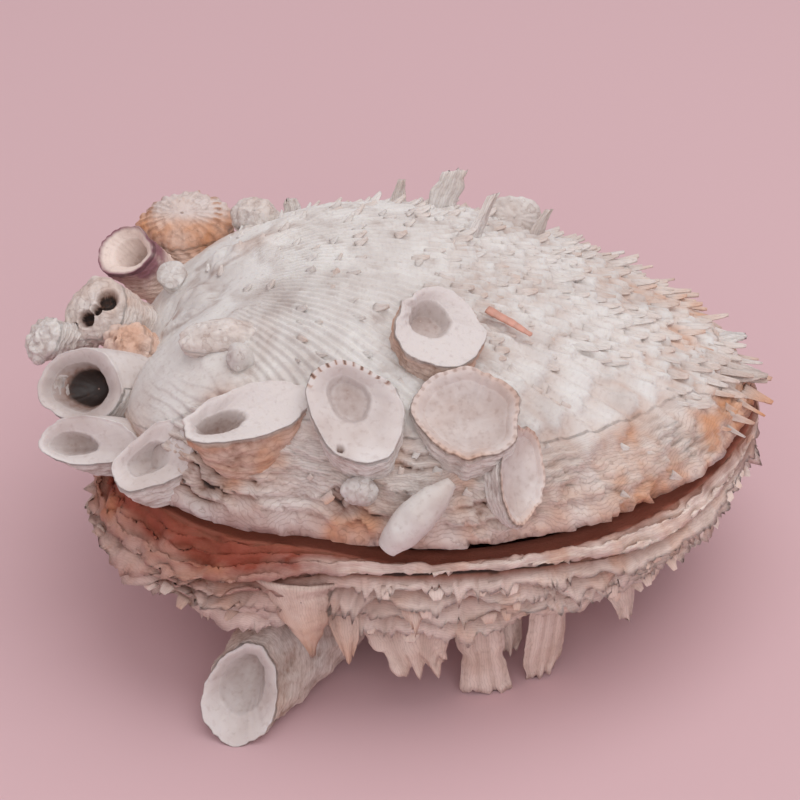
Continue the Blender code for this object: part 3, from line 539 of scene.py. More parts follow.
def upper_surface():
    """Points, quads, caps and fields of the upper valve: a thick bowl turned over."""
    sizes = bpy.context.scene.shell_sizes
    angle = np.arange(UPPER_COLUMNS) * TAU / UPPER_COLUMNS
    radius = periodic(RADII, angle)
    edge = CENTRE + radius[:, None] * np.stack([np.cos(angle), np.sin(angle)], 1)
    share = np.linspace(0.012, 1, UPPER_STEPS) ** 0.86
    plan = UMBO + share[:, None, None] * (edge[None] - UMBO)
    x, y = plan[..., 0].ravel(), plan[..., 1].ravel()
    points = np.stack([x, y, dome_height(x, y)], 1)
    normal = grid_normals(points, UPPER_STEPS, UPPER_COLUMNS)
    normal[normal[:, 2] < -0.2] *= -1
    lip = np.repeat(share, UPPER_COLUMNS)
    reach = np.hypot(x - UMBO[0], y - UMBO[1])
    bearing = np.arctan2(y - UMBO[1], x - UMBO[0])
    # The layers part along the whole lip, and over a broad band at the front.
    front = np.maximum(front_band(x, y), 0.75 * ramp(lip, 0.93, 0.975))
    # Ribs fan out from the umbo; the layers near the front edge run across them.
    wander = 0.012 * cloud(points, 16, 3)
    ribs = np.cos(sizes.rib_turns * (bearing + wander))
    ribs = ribs * ramp(reach, 12, 30) * (1 - front) * ramp(x, -42, -20)
    from_edge = (1 - lip) * np.tile(np.linalg.norm(edge - UMBO, axis=1), UPPER_STEPS)
    layers = saw(-(from_edge + 3.0 * cloud(points, 17, 21, 2) + cloud(points, 4.2, 23, 3)) / 2.7, 0.94)
    proud = 0.35 + ramp(cloud(points, 8.0, 24, 2), -0.35, 0.4)
    fine_layers = saw(-(from_edge + 1.2 * cloud(points, 11, 25) + 0.3 * cloud(points, 1.8, 27, 2)) / 1.1, 0.8)
    rough = cloud(points, 5.0, 31, 4)
    lumps = cloud(points, 13.0, 41, 2)
    left = ramp(-x, 18, 40)
    height = sizes.rib_relief / MM * ribs
    height += front * (1.5 * proud * (layers - 0.5) + 0.4 * fine_layers - 0.6)
    crust = left * ramp(cloud(points, 11.0, 43, 2), -0.1, 0.25)
    height += 0.28 * rough + (0.35 + 0.25 * left) * lumps + crust * (0.5 + 0.9 * np.abs(cloud(points, 4.0, 45, 3)))
    # On the far side the ribs rise into overlapping fingers, and near the front right edge into broad scales.
    broad = front_right(x, y)
    fingers = ramp(x, 0, 18) * (1 - broad) * (1 - front * ramp(20 - x, 0, 20))
    for share_of, count, step, rise, seed in ((fingers, 36, 5.5, 1.1, 81), (broad, 15, 9.0, 1.35, 86)):
        rib = (bearing + 0.02 * cloud(points, 14, seed, 2)) * count
        chance = np.modf(np.abs(np.sin(np.floor(rib) * 12.9898 + seed)) * 43758.5453)[0]
        finger = saw((reach + 0.9 * cloud(points, 4.0, seed + 2, 2)) / step + chance, 0.88)
        across = 1 - np.abs(2 * (rib - np.floor(rib)) - 1) ** 2.5
        height += share_of * rise * (finger * (0.35 + 0.65 * across) - 0.3)
        valley = share_of * np.clip(1 - 1.6 * finger * (0.3 + 0.7 * across), 0, 1)
        hollows = valley if seed == 81 else np.maximum(hollows, valley)
    # Old growth stops show as low steps all over.
    height += 0.22 * (1 - front) * saw((reach + 2.5 * lumps) / 8.5, 0.9)
    worm = np.abs(cloud(points, 7.0, 51, 2))
    bored = ramp(0.10 - worm, 0.0, 0.08) * ramp(lumps, 0.1, 0.6)
    height -= 0.35 * bored
    # Each hole is cut in; all but the smallest are painted dark inside as shade.
    hole_shade = 0
    for *hole, reach_of in VALVE_HOLES:
        inward = reach_of - np.linalg.norm(points - hole, axis=1)
        height -= 2.6 * ramp(inward, 0, 1.0)
        hole_shade = hole_shade + 1.3 * ramp(inward + 0.4, 0, 0.9) * (reach_of > 1.0)
    # Smooth white shell runs between the feet of the left cups.
    fused = ramp(19 - np.linalg.norm(points - (-45.0, -25.0, 60.0), axis=1), 0, 9)
    height = height * (1 - 0.85 * fused) + 2.4 * fused + 0.3 * fused * cloud(points, 7.0, 47, 2)
    height *= ramp(reach, 0.5, 4)
    # The lip itself is thin and ragged.
    ragged = 0.8 * np.abs(cloud(points, 6, 61, 3)) * ramp(lip, 0.965, 1.0)
    height = height - 0.6 * ragged
    # Dirt and painted shade: darker down between the band's layers, at the edges of the left crust, in low rough spots
    # and bores, and between the fingers.
    grime = front * np.clip(1.15 * (1 - layers) - 0.1, 0, 1) ** 2 * 0.75 * proud
    grime += front * (1 - fine_layers) ** 3 * 0.3
    grime *= 1 - 0.45 * ramp(x, 10, 30)
    grime += 0.45 * left * ramp(crust, 0.02, 0.3) * (1 - ramp(crust, 0.3, 0.8))
    grime += 0.28 * ramp(-rough, 0.25, 0.9) + 0.24 * bored
    grime += 0.2 * hollows
    # The lip's edge is left almost free of dirt and painted shade, so it stays bright; the painted shade of the holes
    # goes on after.
    grime *= 1 - 0.8 * ramp(lip, 0.97, 0.99)
    grime += hole_shade
    stain = front * (0.3 + 0.6 * ramp(cloud(points, 11, 71), -0.1, 0.5))
    stain += 0.8 * ramp(x, 40, 74) * ramp(cloud(points, 9, 73, 2), -0.4, 0.4)
    stain += 0.22 * left * ramp(lumps, -0.2, 0.5)
    stain += 0.35 * ramp(x, 22, 50) * ramp(-y, 30, 52) * ramp(lip, 0.9, 1.0)
    stain += 0.4 * hollows * (0.4 + 0.6 * ramp(x, 30, 60))
    tint = 0.25 * ramp(lip, 0.97, 1.0) * ramp(-y, 20, 50) * ramp(-x, -10, 30)
    grime, stain, front = (field * (1 - 0.9 * fused) for field in (grime, stain, front))
    grime *= 1 - 0.35 * ramp(x, 12, 34)
    points = points + normal * height[:, None]
    points[:, 2] = np.maximum(points[:, 2], LIP_Z)
    # Underside of the lip and the hollow.
    rows = [points.reshape(UPPER_STEPS, UPPER_COLUMNS, 3)]
    flat = CENTRE + (radius - 4.5)[:, None] * np.stack([np.cos(angle), np.sin(angle)], 1)
    rows.append(np.concatenate([flat, np.full((UPPER_COLUMNS, 1), LIP_Z)], 1)[None])
    for inner in (0.985, 0.94, 0.86, 0.74, 0.58, 0.38, 0.18):
        spot = CENTRE + ((radius - 4.5) * inner)[:, None] * np.stack([np.cos(angle), np.sin(angle)], 1)
        depth = LIP_Z + HOLLOW_RISE * (1 - 0.5 * ramp(spot[:, 0], -25, 75)) * (1 - inner**2.3) ** 0.62
        depth = np.minimum(depth, dome_height(spot[:, 0], spot[:, 1]) - 3.5)
        rows.append(np.concatenate([spot, depth[:, None]], 1)[None])
    points = np.concatenate([row.reshape(-1, 3) for row in rows])
    total = UPPER_STEPS + 8
    top, bottom = len(points), len(points) + 1
    peak = np.array([[UMBO[0], UMBO[1], float(dome_height(UMBO[:1], UMBO[1:])[0])], [CENTRE[0], CENTRE[1], 71.0]])
    points = np.concatenate([points, peak])
    along_edge = (from_edge + 1.3 * cloud(points[: len(front)], 7, 25)) / 0.55
    fields = {
        "grime": grime, "stain": stain, "tint": tint,
        "lines": np.where(front > 0.25, along_edge, reach / 1.1), "score": np.maximum(front, 0.12),
    }
    fields = with_ends(fields, len(points) - len(height), grime=0.5, stain=0.3, tint=0.3)
    caps = fan(top, 0, UPPER_COLUMNS) + fan(bottom, (total - 1) * UPPER_COLUMNS, UPPER_COLUMNS, True)
    return points, loop_quads(total, UPPER_COLUMNS), caps, fields


# Blades: spines, thorns, scales and prickles


def end_caps(rows, columns):
    """One face at each end of a grid that closes on itself along its columns."""
    return [tuple(range(columns)), tuple(reversed(range((rows - 1) * columns, rows * columns)))]


def blade_shape(title, length_steps, width_steps, outline, groove, curl, slot, thick):
    """A closed blade one unit long along X, one wide along Y, rounded above, that curls up towards its tip."""
    points = []
    for k in range(length_steps):
        t = k / (length_steps - 1)
        half = 0.5 * outline(t)
        for side in (1, -1):
            for j in range(width_steps):
                u = side * (-1 + 2 * j / (width_steps - 1))
                body = thick * (1 - 0.45 * t) * math.sqrt(max(1 - u * u, 0.0)) * (1.0 if side > 0 else -0.6)
                points.append((t, half * u, curl * t * t + body - groove * (1 - u * u) * t * 0.22))
    points = np.array(points)
    columns = 2 * width_steps
    return new_object(
        title, points, loop_quads(length_steps, columns), end_caps(length_steps, columns), finish_of(slot),
        {"along": points[:, 0], "lines": points[:, 1] * 5},
    )


def scatter_tree(title):
    """Puts a blade on every point, turned and sized by the point's own fields."""
    tree = bpy.data.node_groups.new(title, "GeometryNodeTree")
    for name, kind in (
        ("Points", "Geometry"), ("Blade", "Object"), ("Size", "Float"), ("Size jitter", "Float"), ("Finish", "Material")
    ):
        socket = tree.interface.new_socket(name, in_out="INPUT", socket_type="NodeSocket" + kind)
        if kind == "Float":
            socket.default_value = {"Size": 1.0, "Size jitter": 0.12}[name]
    tree.interface.new_socket("Geometry", in_out="OUTPUT", socket_type="NodeSocketGeometry")
    start = node(tree, "NodeGroupInput").outputs
    turn, span = (
        node(tree, "GeometryNodeInputNamedAttribute", {"data_type": "FLOAT_VECTOR", "Name": name}).outputs["Attribute"]
        for name in ("turn", "span")
    )
    most, least = (
        node(tree, "ShaderNodeMath", {"operation": kind}, {0: start["Size"], 1: start["Size jitter"]}).outputs[0]
        for kind in ("ADD", "SUBTRACT")
    )
    chance = node(tree, "FunctionNodeRandomValue", {"data_type": "FLOAT", "Seed": 7}, {2: least, 3: most}).outputs[1]
    size = node(tree, "ShaderNodeVectorMath", {"operation": "SCALE"}, {0: span, "Scale": chance}).outputs["Vector"]
    blade = node(tree, "GeometryNodeObjectInfo", {}, {"Object": start["Blade"]}).outputs["Geometry"]
    rotation = node(tree, "FunctionNodeEulerToRotation", {}, {"Euler": turn}).outputs["Rotation"]
    placed = node(
        tree, "GeometryNodeInstanceOnPoints", {},
        {"Points": start["Points"], "Instance": blade, "Rotation": rotation, "Scale": size},
    )
    solid = node(tree, "GeometryNodeRealizeInstances", {}, {"Geometry": placed.outputs["Instances"]})
    done = node(
        tree, "GeometryNodeSetMaterial", {}, {"Geometry": solid.outputs["Geometry"], "Material": start["Finish"]}
    )
    node(tree, "NodeGroupOutput", {}, {"Geometry": done.outputs["Geometry"]})
    return tree


def scatter(title, blade, bases, forward, upward, spans, stains, soil_and_shade_amount, node_name, slot):
    """One piece made of blades at the bases. forward runs along each blade, upward is its curling side."""
    forward = forward / np.linalg.norm(forward, axis=1)[:, None]
    side = np.cross(upward, forward)
    side /= np.linalg.norm(side, axis=1)[:, None]
    over = np.cross(forward, side)
    # Euler angles of the frame whose columns are forward, side and over.
    pitch = np.arcsin(np.clip(-forward[:, 2], -1, 1))
    roll = np.arctan2(side[:, 2], over[:, 2])
    yaw = np.arctan2(forward[:, 1], forward[:, 0])
    base_mesh = bpy.data.meshes.new(title + " bases")
    base_mesh.from_pydata([tuple(p) for p in (bases + SHIFT) * MM], [], [])
    set_field(base_mesh, "turn", np.stack([roll, pitch, yaw], 1), "FLOAT_VECTOR")
    set_field(base_mesh, "span", spans * MM, "FLOAT_VECTOR")
    set_field(base_mesh, "stain", np.clip(stains, 0, 1))
    holder = bpy.data.objects.new(title + " bases", base_mesh)
    bpy.context.scene.collection.objects.link(holder)
    tree = bpy.data.node_groups.get("Blades on points") or scatter_tree("Blades on points")
    grower = holder.modifiers.new("Blades", "NODES")
    grower.node_group = tree
    inputs = {item.name: item.identifier for item in tree.interface.items_tree if item.in_out == "INPUT"}
    grower[inputs["Blade"]] = blade
    grower[inputs["Finish"]] = finish_of(slot)
    graph = bpy.context.evaluated_depsgraph_get()
    mesh = bpy.data.meshes.new_from_object(holder.evaluated_get(graph), depsgraph=graph)
    bpy.data.objects.remove(holder)
    bpy.data.objects.remove(blade)
    mesh.name = title
    # Tips are cleaner and more stained than the feet, which take dirt and painted shade where they meet the shell.
    along, stain = np.empty((2, len(mesh.vertices)), np.float32)
    mesh.attributes["along"].data.foreach_get("value", along)
    mesh.attributes["stain"].data.foreach_get("value", stain)
    set_field(mesh, "stain", stain * (0.45 + 0.75 * along))
    set_field(mesh, "grime", soil_and_shade_amount * np.clip(1 - along * 2.4, 0, 1))
    set_field(mesh, "tint", 0 * along)
    set_field(mesh, "score", 0 * along + 0.45)
    mesh.shade_smooth()
    piece = bpy.data.objects.new(title.replace(" ", "_"), mesh)
    bpy.context.scene.collection.objects.link(piece)
    settle(piece, node_name)


def spine_bases(spacing_along, spacing_across, seed, amount_at):
    """Points on the upper valve along its ribs, as many as amount_at gives, each with the surface's normal and the
    way out from the umbo."""
    rng = np.random.default_rng(seed)
    plan, row, reach = [], 0, 10.0
    while reach < 132:
        count = int(TAU * reach / spacing_across)
        for k in range(count):
            bearing = (k + 0.5 * (row % 2) + rng.uniform(-0.22, 0.22)) / count * TAU
            away = reach + rng.uniform(-0.38, 0.38) * spacing_along
            plan.append((UMBO[0] + away * math.cos(bearing), UMBO[1] + away * math.sin(bearing)))
        row, reach = row + 1, reach + spacing_along
    plan = np.array(plan)
    plan = plan[edge_share(*plan.T) < 0.985]
    points = np.column_stack([plan, dome_height(*plan.T)])
    points = points[(rng.uniform(size=len(points)) < amount_at(*plan.T)) & is_clear(points)]
    normal = dome_normal(points[:, 0], points[:, 1])
    out = np.column_stack([points[:, :2] - UMBO, np.zeros(len(points))])
    out -= normal * np.sum(out * normal, axis=1)[:, None]
    return points, normal, out / np.linalg.norm(out, axis=1)[:, None], rng


def far_side(x, y):
    """Share of bases that carry a long spine: the far half and the back."""
    amount = np.maximum(ramp(x, -2, 16), 0.85 * ramp(y, 18, 36) * ramp(x, -30, 0))
    amount = amount * (1 - 0.9 * front_band(x, y) * ramp(-x, -58, -30)) * 0.9
    return amount * (1 - 0.8 * front_right(x, y) * ramp(70 - x, 0, 6))


def front_right(x, y):
    """1 where broad low scales take the place of spines, near the front right edge."""
    return ramp(-y, 15, 27) * ramp(x, 17, 28)


def worn_top(x, y):
    """Share of bases that carry a small thorn: the worn left half, short of the layered band."""
    return (1 - ramp(x, 12, 30)) * ramp(x, -46, -30) * (1 - front_band(x, y)) * 0.5


def left_band(x, y):
    """Share of bases that carry a flake: the left of the layered band."""
    return 0.55 * front_band(x, y) * (1 - ramp(x, 12, 24))


def rounded(t, fade, least):
    """How wide the last fifth of a blade still is at t, as its tip is rounded off."""
    return math.sqrt(max(1 - (max(t - 0.8, 0) / fade) ** 2, least))


class SHELL_OT_spines(bpy.types.Operator):
    """Grow the long spines, the worn thorns and the flakes of the upper valve"""

    bl_idname = "shell.spines"
    bl_label = "Spines, thorns and flakes"

    def execute(self, context):
        sizes = context.scene.shell_sizes
        slot = "chalk_shell"

        # Long grooved spines over the far half and the back.
        points, normal, out, rng = spine_bases(4.3, 2.7, 4, far_side)
        x, y, _ = points.T
        lean = rng.uniform(0.10, 0.42, len(x))[:, None] + 0.30 * ramp(y, 15, 45)[:, None]
        sway = rng.normal(0, 0.10, (len(x), 3))
        length = sizes.spine_length / MM * (0.62 + 0.38 * ramp(x, 20, 66)) * rng.uniform(0.6, 1.15, len(x))
        length *= (1 - 0.35 * ramp(y, 40, 58)) * (1 - 0.5 * ramp(-y, 18, 34))
        width = sizes.spine_width / MM * rng.uniform(0.6, 1.35, len(x))
        stain = 0.14 + 0.85 * ramp(x, 42, 74) * ramp(cloud(points, 9, 73, 2), -0.4, 0.4)
        stain += 0.15 * rng.uniform(size=len(x))
        blade = blade_shape("Spine", 8, 5, lambda t: (1.5 - 0.95 * t) * rounded(t, 0.22, 0.04), 0.3, 0.10, slot, 0.5)
        scatter(
            "Long grooved spines", blade, points - normal * 0.9, out * (1 - 0.3 * lean) + normal * lean + sway,
            normal, np.column_stack([length, width, width * 1.15]), stain, 0.26, "upper_valve", slot,
        )

        # Small thorns in rows on the worn top.
        points, normal, out, rng = spine_bases(6.4, 4.2, 9, worn_top)
        count = len(points)
        length = rng.uniform(1.6, 3.4, count) * (1 + 0.5 * ramp(points[:, 1], 25, 45))
        width = rng.uniform(1.5, 2.8, count)
        blade = blade_shape("Thorn", 5, 5, lambda t: 1.0 - 0.78 * t, 0.2, 0.15, slot, 0.42)
        scatter(
            "Worn thorns", blade, points - normal * 0.5,
            out * 0.75 + normal * 0.5 + rng.normal(0, 0.12, (count, 3)), normal,
            np.column_stack([length, width, width]), 0.25 * rng.uniform(size=count), 0.12, "upper_valve", slot,
        )

        # Small flat flakes here and there on the left of the layered band.
        points, normal, out, rng = spine_bases(5.2, 4.6, 14, left_band)
        count = len(points)
        big = 0.45 + 0.55 * ramp(points[:, 0], 12, 30)
        length = rng.uniform(2.6, 5.0, count) * big
        width = rng.uniform(2.4, 5.4, count) * big
        blade = blade_shape(
            "Scale", 9, 7, lambda t: (1.25 - 0.3 * t + 0.12 * math.sin(9 * t)) * rounded(t, 0.24, 0.1),
            0.5, 0.05, slot, 0.22,
        )
        scatter(
            "Broad edge scales", blade, points - normal * 0.4,
            out + normal * rng.uniform(0.02, 0.14, count)[:, None] + rng.normal(0, 0.18, (count, 3)), normal,
            np.column_stack([length, width, 3.2 * big]), 0.12 + 0.75 * ramp(cloud(points, 9.0, 77, 2), -0.2, 0.5),
            0.35, "upper_valve", slot,
        )
        return {"FINISHED"}


# The lower valve


# Inward of the widest line, height, raggedness and undercut, all mm: tip and tuck of each layer, from the lip down.
TIERS = (
    (0.0, 43.4, 0.4, 0.0), (0.4, 41.4, 0.2, 2.2), (-0.4, 39.2, 0.9, 0.0), (1.4, 36.8, 0.2, 3.2), (1.0, 34.2, 1.1, 0.0),
    (3.4, 31.8, 0.2, 3.4), (3.6, 28.8, 1.2, 0.0), (7.0, 26.6, 0.2, 3.4), (8.0, 23.6, 1.2, 0.0), (13.0, 21.4, 0.2, 3.0),
    (19.0, 18.2, 0.6, 0.0), (26.0, 15.0, 0.0, 0.0), (34.0, 11.2, 0.0, 0.0), (46.0, 8.2, 0.0, 0.0),
)
LOWER_COLUMNS, SUB_ROWS = 800, 6
# The groove under the upper lip and the hollow inside it: inward of the lip and height, mm.
INSIDE = (
    (0.0, 0.0), (1.5, -0.6), (3.5, -0.4), (5.0, 0.0), (6.5, -1.0), (11.0, -12.0), (17.0, -19.0), (26.0, -24.5),
    (42.0, -28.0),
)


def toward(angle, degrees, low, high):
    """1 where a bearing points the way of degrees, 0 away from it, as the cosine between them goes from high to low."""
    return ramp(np.cos(angle - math.radians(degrees)), low, high)


def lower_radius(angle):
    """Radius of the lower valve's widest line."""
    return periodic(RADII, angle) + periodic(LEDGE, angle)


def lower_surface():
    """Points, quads, caps and fields of the lower valve: a bowl ringed by tiers of thin broken layers."""
    angle = np.arange(LOWER_COLUMNS) * TAU / LOWER_COLUMNS
    ring = np.stack([np.cos(angle), np.sin(angle)], 1)
    base = lower_radius(angle)
    # The further the ledge reaches, the lower its outer edge.
    drop = 1.1 * np.maximum(periodic(LEDGE, angle) - 0.5, 0.0)
    hinge = toward(angle, 212, 0.75, 0.97)
    rows, layer = [], []

    def torn(height, seed):
        around = np.column_stack([ring * 16, np.full(LOWER_COLUMNS, height * 0.9)])
        return cloud(around, 1.6, seed, 3)

    last = len(TIERS) - 1
    for k in range(last):
        (inward, height, ragged, under), (inward2, height2, ragged2, under2) = TIERS[k], TIERS[k + 1]
        for j in range(SUB_ROWS):
            t = j / SUB_ROWS
            # Each layer runs out to a sharp lip, then tucks straight back under itself.
            ease = t**0.6 if k % 2 == 0 else t**1.8
            inner = inward + (inward2 - inward) * ease
            up = min(max((height + (height2 - height) * t - 14.0) / 10.0, 0.0), 1.0)
            inner = inner * (1 - (1 - periodic(TUCK, angle)) * up) + under + (under2 - under) * ease
            rag = ragged + (ragged2 - ragged) * ease
            h = height + (height2 - height) * t
            h = h - drop * np.clip((h - 26.0) / 17.2, 0, 1)
            which = (k + 1) // 2
            tear = torn(which * 7.0, 80 + which)
            sag = cloud(np.column_stack([ring * 9, np.full(LOWER_COLUMNS, which * 3.1)]), 5.0, 97, 2)
            # The edge of each layer hangs in torn teeth.
            hang = (1 - t) ** 1.4 if k % 2 == 0 else t**3
            beat = (angle / TAU * (104 + 17 * (which % 3)) + 1.9 * torn(which * 5.0, 280 + which)) % 1.0
            tooth = (1 - np.abs(2 * beat - 1)) ** 1.2
            tooth = tooth * (0.15 + 1.5 * np.maximum(torn(which * 3.0, 380 + which), 0))
            tooth = tooth * hang * (0.3 if which == 0 else 1.0) * (k < last - 3) * (1 - 0.6 * hinge)
            torn_end = 1 + 1.6 * hinge * (k < 5)
            radius = base - inner + rag * 1.3 * tear * torn_end + 1.3 * tooth
            z = h + 1.1 * sag * (1 if k else 0.3) * torn_end - 0.4 * rag * tear * torn_end - 2.8 * tooth
            rows.append(np.column_stack([CENTRE + radius[:, None] * ring, z]))
            layer.append(np.full(LOWER_COLUMNS, t if k % 2 == 0 else 1 - t))
    inner, h, _, _ = TIERS[-1]
    rows.append(np.column_stack([CENTRE + (base - inner)[:, None] * ring, np.full(LOWER_COLUMNS, h)]))
    layer.append(np.full(LOWER_COLUMNS, 0.3))
    rows.reverse()
    layer.reverse()
    # Over the lip and down the smooth inside.
    lip = periodic(RADII, angle)
    # The shell gapes along the front: under the upper lip the ledge drops into a dark groove.
    gape = 1.0 + 1.9 * ramp(np.sin(-angle), 0.3, 0.9) * ramp(np.cos(angle), -0.55, -0.1)
    span = base - lip
    for share in np.linspace(0, 1, 24)[1:-1]:
        spot = CENTRE + (base - span * share)[:, None] * ring
        wave = cloud(np.column_stack([spot, np.full(LOWER_COLUMNS, 3.0)]), 7.0, 171, 3)
        step = saw(share * np.maximum(span, 2.0) / 2.2 + 0.8 * wave, 0.8) - 0.5
        slope = 43.4 - drop * (1 - share) - (gape - 0.4) * share**3
        rise = (0.7 * wave + 1.5 * step) * np.minimum(1.6 * (1 - share), 1) * np.minimum(span / 4, 1.3)
        rows.append(np.column_stack([spot, slope + rise]))
        layer.append(np.clip(0.2 - 0.55 * step + 0.3 * share**4, 0, 1))
    outside = len(rows)
    for inward, h in INSIDE:
        rows.append(np.column_stack([CENTRE + (lip - inward)[:, None] * ring, 43.4 - gape + 0.6 + h]))
        layer.append(np.full(LOWER_COLUMNS, 0.95))
    grid = np.array(rows)
    points = grid.reshape(-1, 3)
    count = outside * LOWER_COLUMNS
    normal = grid_normals(points[:count], outside, LOWER_COLUMNS)
    outwards = np.sum(normal[:, :2] * np.tile(ring, (outside, 1)), axis=1)
    if outwards.mean() < 0:
        normal = -normal
    rough = cloud(points[:count], 3.4, 131, 4)
    steps = saw((points[:count, 2] + 1.1 * cloud(points[:count], 8, 141)) / 1.5, 0.75)
    folds = cloud(points[:count], 8.0, 146, 3) * ramp(-points[:count, 0], 10, 45) * ramp(-points[:count, 1], 0, 20)
    points[:count] += normal * (0.42 * rough + 0.3 * steps + 1.6 * folds)[:, None]
    points[:count, 2] = np.minimum(points[:count, 2], 44.4)
    x, y, z = points.T
    layer = np.concatenate(layer)
    full_rough = cloud(points, 4.5, 151, 3)
    # Dirt and painted shade: darkest in the tuck under each layer's overhang, and in low rough spots.
    grime = 0.8 * layer**1.8 + 0.2 * ramp(-full_rough, 0.1, 0.8)
    # The gap under the lip is rust red all round and darkened with painted shade from the upper lip; the hinge end is
    # orange and plum.
    bearing = np.arctan2(y - CENTRE[1], x - CENTRE[0])
    lip_far = np.hypot(x - CENTRE[0], y - CENTRE[1]) - periodic(RADII, bearing)
    under_lip_rust_and_shade = ramp(z, 36.0, 39.0) * ramp(2.6 - lip_far, 0, 2.6)
    stain = 0.05 + 0.35 * ramp(full_rough, 0.0, 0.8) + toward(bearing, 208, 0.82, 0.97) * ramp(z, 34, 40)
    red = toward(bearing, 218, 0.86, 0.97) * ramp(6.5 - lip_far, 0, 3.5) * ramp(z, 33, 38)
    tint = 0.95 * red * (0.5 + 0.5 * ramp(full_rough, -0.3, 0.5)) + 0.7 * under_lip_rust_and_shade + 0.35 * layer**1.5
    # The front left of the ledge is redder on the free faces of its folds.
    tint += toward(bearing, 222, 0.78, 0.96) * (0.16 + 0.45 * (1 - layer)) * ramp(z, 24, 36)
    grime = np.clip(grime + 0.45 * under_lip_rust_and_shade * (1 - 0.6 * red), 0, 1)
    grime[count:], tint[count:] = 0.3, 0.95
    belly = np.array([[CENTRE[0], CENTRE[1], 7.2], [CENTRE[0], CENTRE[1], 12.2]])
    points = np.concatenate([points, belly])
    fields = {
        "grime": grime, "stain": stain, "tint": tint,
        "lines": (z - 0.6 * lip_far + 1.2 * cloud(points[:-2], 9, 161)) / 0.55,
        "score": np.where(np.arange(len(grime)) < count, 0.6, 0.3),
    }
    fields = with_ends(fields, 2, grime=0.4, stain=0.4)
    total = len(grid)
    caps = fan(total * LOWER_COLUMNS, 0, LOWER_COLUMNS)
    caps += fan(total * LOWER_COLUMNS + 1, (total - 1) * LOWER_COLUMNS, LOWER_COLUMNS, True)
    return points, loop_quads(total, LOWER_COLUMNS), caps, fields


class SHELL_OT_prickles(bpy.types.Operator):
    """Grow the short ragged prickles along the edges of the lower valve's layers"""

    bl_idname = "shell.prickles"
    bl_label = "Prickles of the tiers"

    def execute(self, context):
        longest = context.scene.shell_sizes.frill_length / MM
        rng = np.random.default_rng(23)
        bases, forward, upward, spans, stains = [], [], [], [], []
        for k in range(2, len(TIERS) - 4, 2):
            inward, height, _, _ = TIERS[k]
            count = 110 - 5 * k
            for j in range(count):
                if rng.uniform() < 0.62:
                    continue
                a = np.array([(j + rng.uniform(-0.4, 0.4)) / count * TAU])
                slope = 1.1 * max(float(periodic(LEDGE, a)[0]) - 0.5, 0.0)
                h = height - slope * min(max((height - 26.0) / 17.2, 0.0), 1.0)
                up = min(max((height - 14.0) / 10.0, 0.0), 1.0)
                radius = float(lower_radius(a)[0] - inward * (1 - (1 - periodic(TUCK, a)[0]) * up)) - 0.8
                out = np.array((math.cos(a[0]), math.sin(a[0]), 0.0))
                bases.append((CENTRE[0] + radius * out[0], CENTRE[1] + radius * out[1], h + rng.uniform(-1.2, 0.2)))
                forward.append(out + (rng.normal(0, 0.2), rng.normal(0, 0.2), rng.uniform(-1.3, -0.3)))
                upward.append((out[0] * 0.5, out[1] * 0.5, 1.0))
                spans.append((longest * rng.uniform(0.4, 1.05), rng.uniform(2.0, 4.6), 1.4))
                stains.append(rng.uniform(0.0, 0.4))
        slot = "layered_shell"
        blade = blade_shape("Prickle", 6, 6, lambda t: 1.05 - 0.6 * t * t, 0.6, -0.35, slot, 0.2)
        tables = (np.array(values) for values in (bases, forward, upward, spans, stains))
        scatter("Layer prickles", blade, *tables, 0.5, "lower_valve", slot)
        return {"FINISHED"}


# Fronds: broad fluted blades on the lower valve, and the big flat spines of the upper one


BLADE_STEPS, BLADE_COLUMNS = 36, 22


